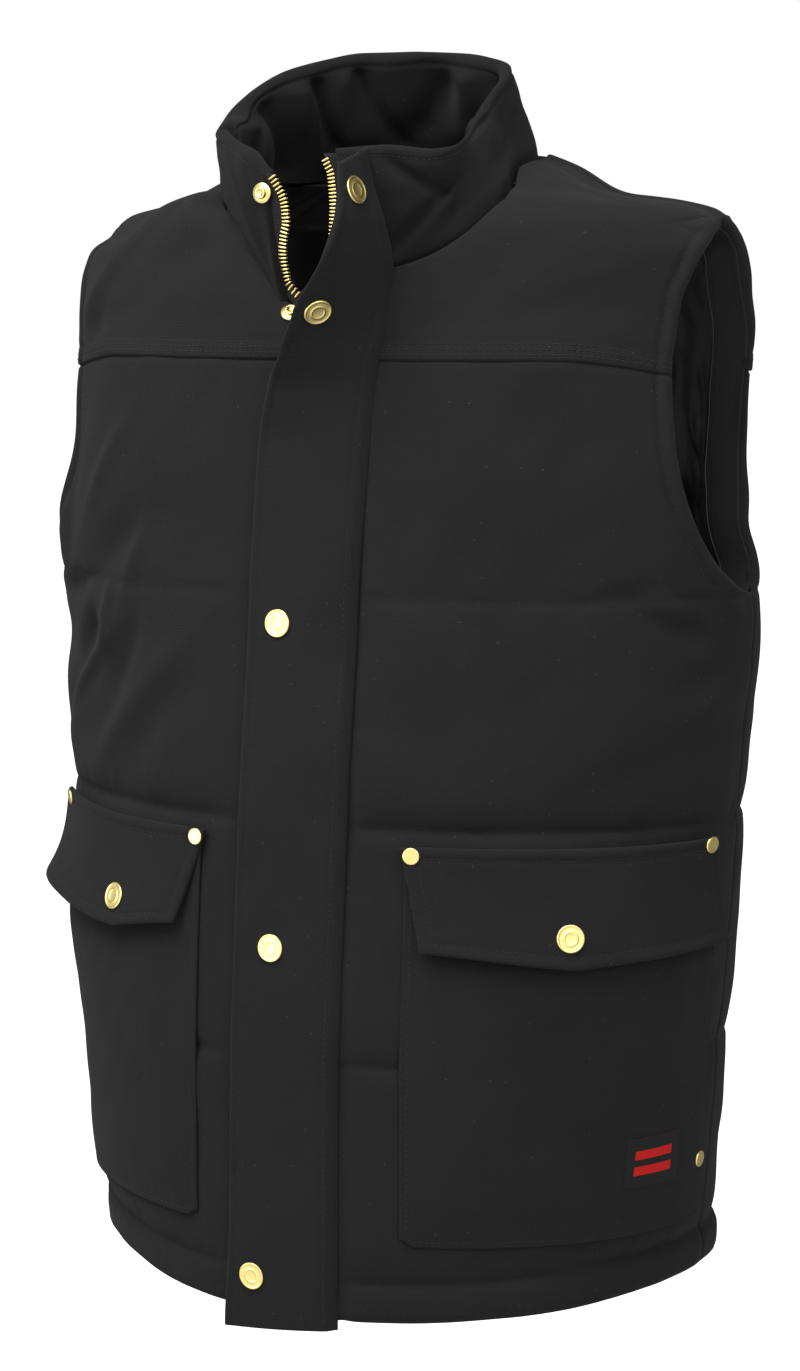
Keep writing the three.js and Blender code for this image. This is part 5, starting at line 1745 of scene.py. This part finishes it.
@dataclass(frozen=True)
class Studio:
    """Camera, soft lights and pale floor."""

    place: tuple[float, float, float] = (0.7394, -1.5707, -0.0313)
    right: tuple[float, float, float] = (0.9046, 0.4262, 0.0)
    up: tuple[float, float, float] = (-0.0586, 0.1245, 0.9905)
    lens: float = 80.0
    floor: float = -1.25
    floor_half: float = 30.0

    def set_camera(self) -> None:
        """Sets the camera: its axes are the picture's right, its up and the way back from the vest."""
        data = bpy.data.cameras.new("camera")
        data.lens, data.sensor_width, data.clip_end = self.lens, 36.0, 60.0
        camera = bpy.data.objects.new("camera", data)
        back = np.cross(self.right, self.up)
        rows = zip(self.right, self.up, back)
        camera.matrix_world = Matrix([[*row, p] for row, p in zip(rows, self.place)]).to_4x4()
        bpy.context.scene.collection.objects.link(camera)
        bpy.context.scene.camera = camera

    def light(self, name: str, place: tuple[float, float, float], size: tuple[float, float],
              power: float) -> bpy.types.Object:
        """Adds a soft light, so wide and so tall, that looks at the vest's middle."""
        data = bpy.data.lights.new(name, "AREA")
        data.shape, data.energy = "RECTANGLE", power
        data.size, data.size_y = size
        lamp = bpy.data.objects.new(name, data)
        back = unit(np.array(place) - np.array([0, 0, -0.3]))
        side = unit(np.cross([0.0, 0.0, 1.0], back))
        rows = zip(side, np.cross(back, side), back)
        lamp.matrix_world = Matrix([[*row, p] for row, p in zip(rows, place)]).to_4x4()
        bpy.context.scene.collection.objects.link(lamp)
        return lamp

    def build(self) -> None:
        """Sets the lights, the white surroundings and the floor."""
        self.light("key", (-0.3, -1.2, 1.5), (1.4, 1.4), 46)
        card = self.light("card", (-1.35, -1.35, -0.15), (1.0, 1.4), 14)
        card.visible_diffuse = False
        self.light("fill", (1.7, -1.4, 0.8), (1.4, 1.4), 17)
        self.set_world()
        self.set_floor()

    def set_world(self) -> None:
        """Sets white surroundings: full for the camera, dim for cloth, and brighter in front for metal."""
        world = bpy.data.worlds.new("studio")
        world.use_nodes = True
        nodes = Nodes(world.node_tree)
        seen = nodes.add("ShaderNodeLightPath", {}).outputs
        plain = nodes.add("ShaderNodeMapRange", {"Value": seen["Is Camera Ray"],
                                                 "To Min": 0.22, "To Max": 1.0})
        way = nodes.add("ShaderNodeTexCoord", {}).outputs["Generated"]
        depth = nodes.add("ShaderNodeSeparateXYZ", {"Vector": way}).outputs["Y"]
        front = nodes.add("ShaderNodeMapRange", {"Value": depth, "From Min": 0.3, "From Max": -0.9,
                                                 "To Min": 0.3, "To Max": 1.3})
        mirrored = nodes.math("MULTIPLY", seen["Is Glossy Ray"], front.outputs["Result"])
        strength = nodes.math("MAXIMUM", plain.outputs["Result"], mirrored)
        ground = nodes.tree.nodes["Background"]
        ground.inputs["Color"].default_value = (1, 1, 1, 1)
        nodes.tree.links.new(strength, ground.inputs["Strength"])
        bpy.context.scene.world = world
        bpy.context.scene.view_settings.view_transform = "Standard"

    def set_floor(self) -> None:
        """Lays a wide pale floor that the metal doesn't mirror."""
        mesh = bpy.data.meshes.new("floor")
        corners = ((-1, -1), (1, -1), (1, 1), (-1, 1))
        points = [(x * self.floor_half, y * self.floor_half, self.floor) for x, y in corners]
        mesh.from_pydata(points, [], [(0, 1, 2, 3)])
        shader = Shader("pale floor")
        shader.set(Base_Color=(0.85, 0.85, 0.85, 1), Roughness=0.9, Emission_Color=(1, 1, 1, 1))
        shader.wire(shader.add("ShaderNodeLightPath", {}).outputs["Is Camera Ray"], "Emission Strength")
        mesh.materials.append(shader.material)
        floor = bpy.data.objects.new("floor", mesh)
        bpy.context.scene.collection.objects.link(floor)
        floor.visible_glossy = False


def main() -> None:
    """Builds the vest piece by piece."""
    logging.basicConfig(level=logging.INFO, format="%(name)s: %(message)s")
    studio = Studio()
    studio.set_camera()
    BodyPanels().build()
    yokes, collar, flap, pockets = Yokes(), Collar(), StormFlap(), Pockets()
    for assembly in (yokes, collar, flap, pockets):
        assembly.build()
    Inside().build()
    Zipper().build()
    yoke_stud = Seat(yokes.face, -4.6, 554.4, 0.5, 2.0)
    collar_stud = Seat(collar.face, -0.972, 0.8, 0.02, 0.05)
    studs = {"storm_stud_1": yoke_stud, "storm_stud_2": collar_stud}
    Metal().build({**flap.seats(), **pockets.seats(), **studs})
    Label().build(pockets)
    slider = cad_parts["zipper_slider"]
    slider.data.materials.clear()
    slider.data.materials.append(BRASS.material())
    studio.build()


if __name__ == "__main__":
    main()
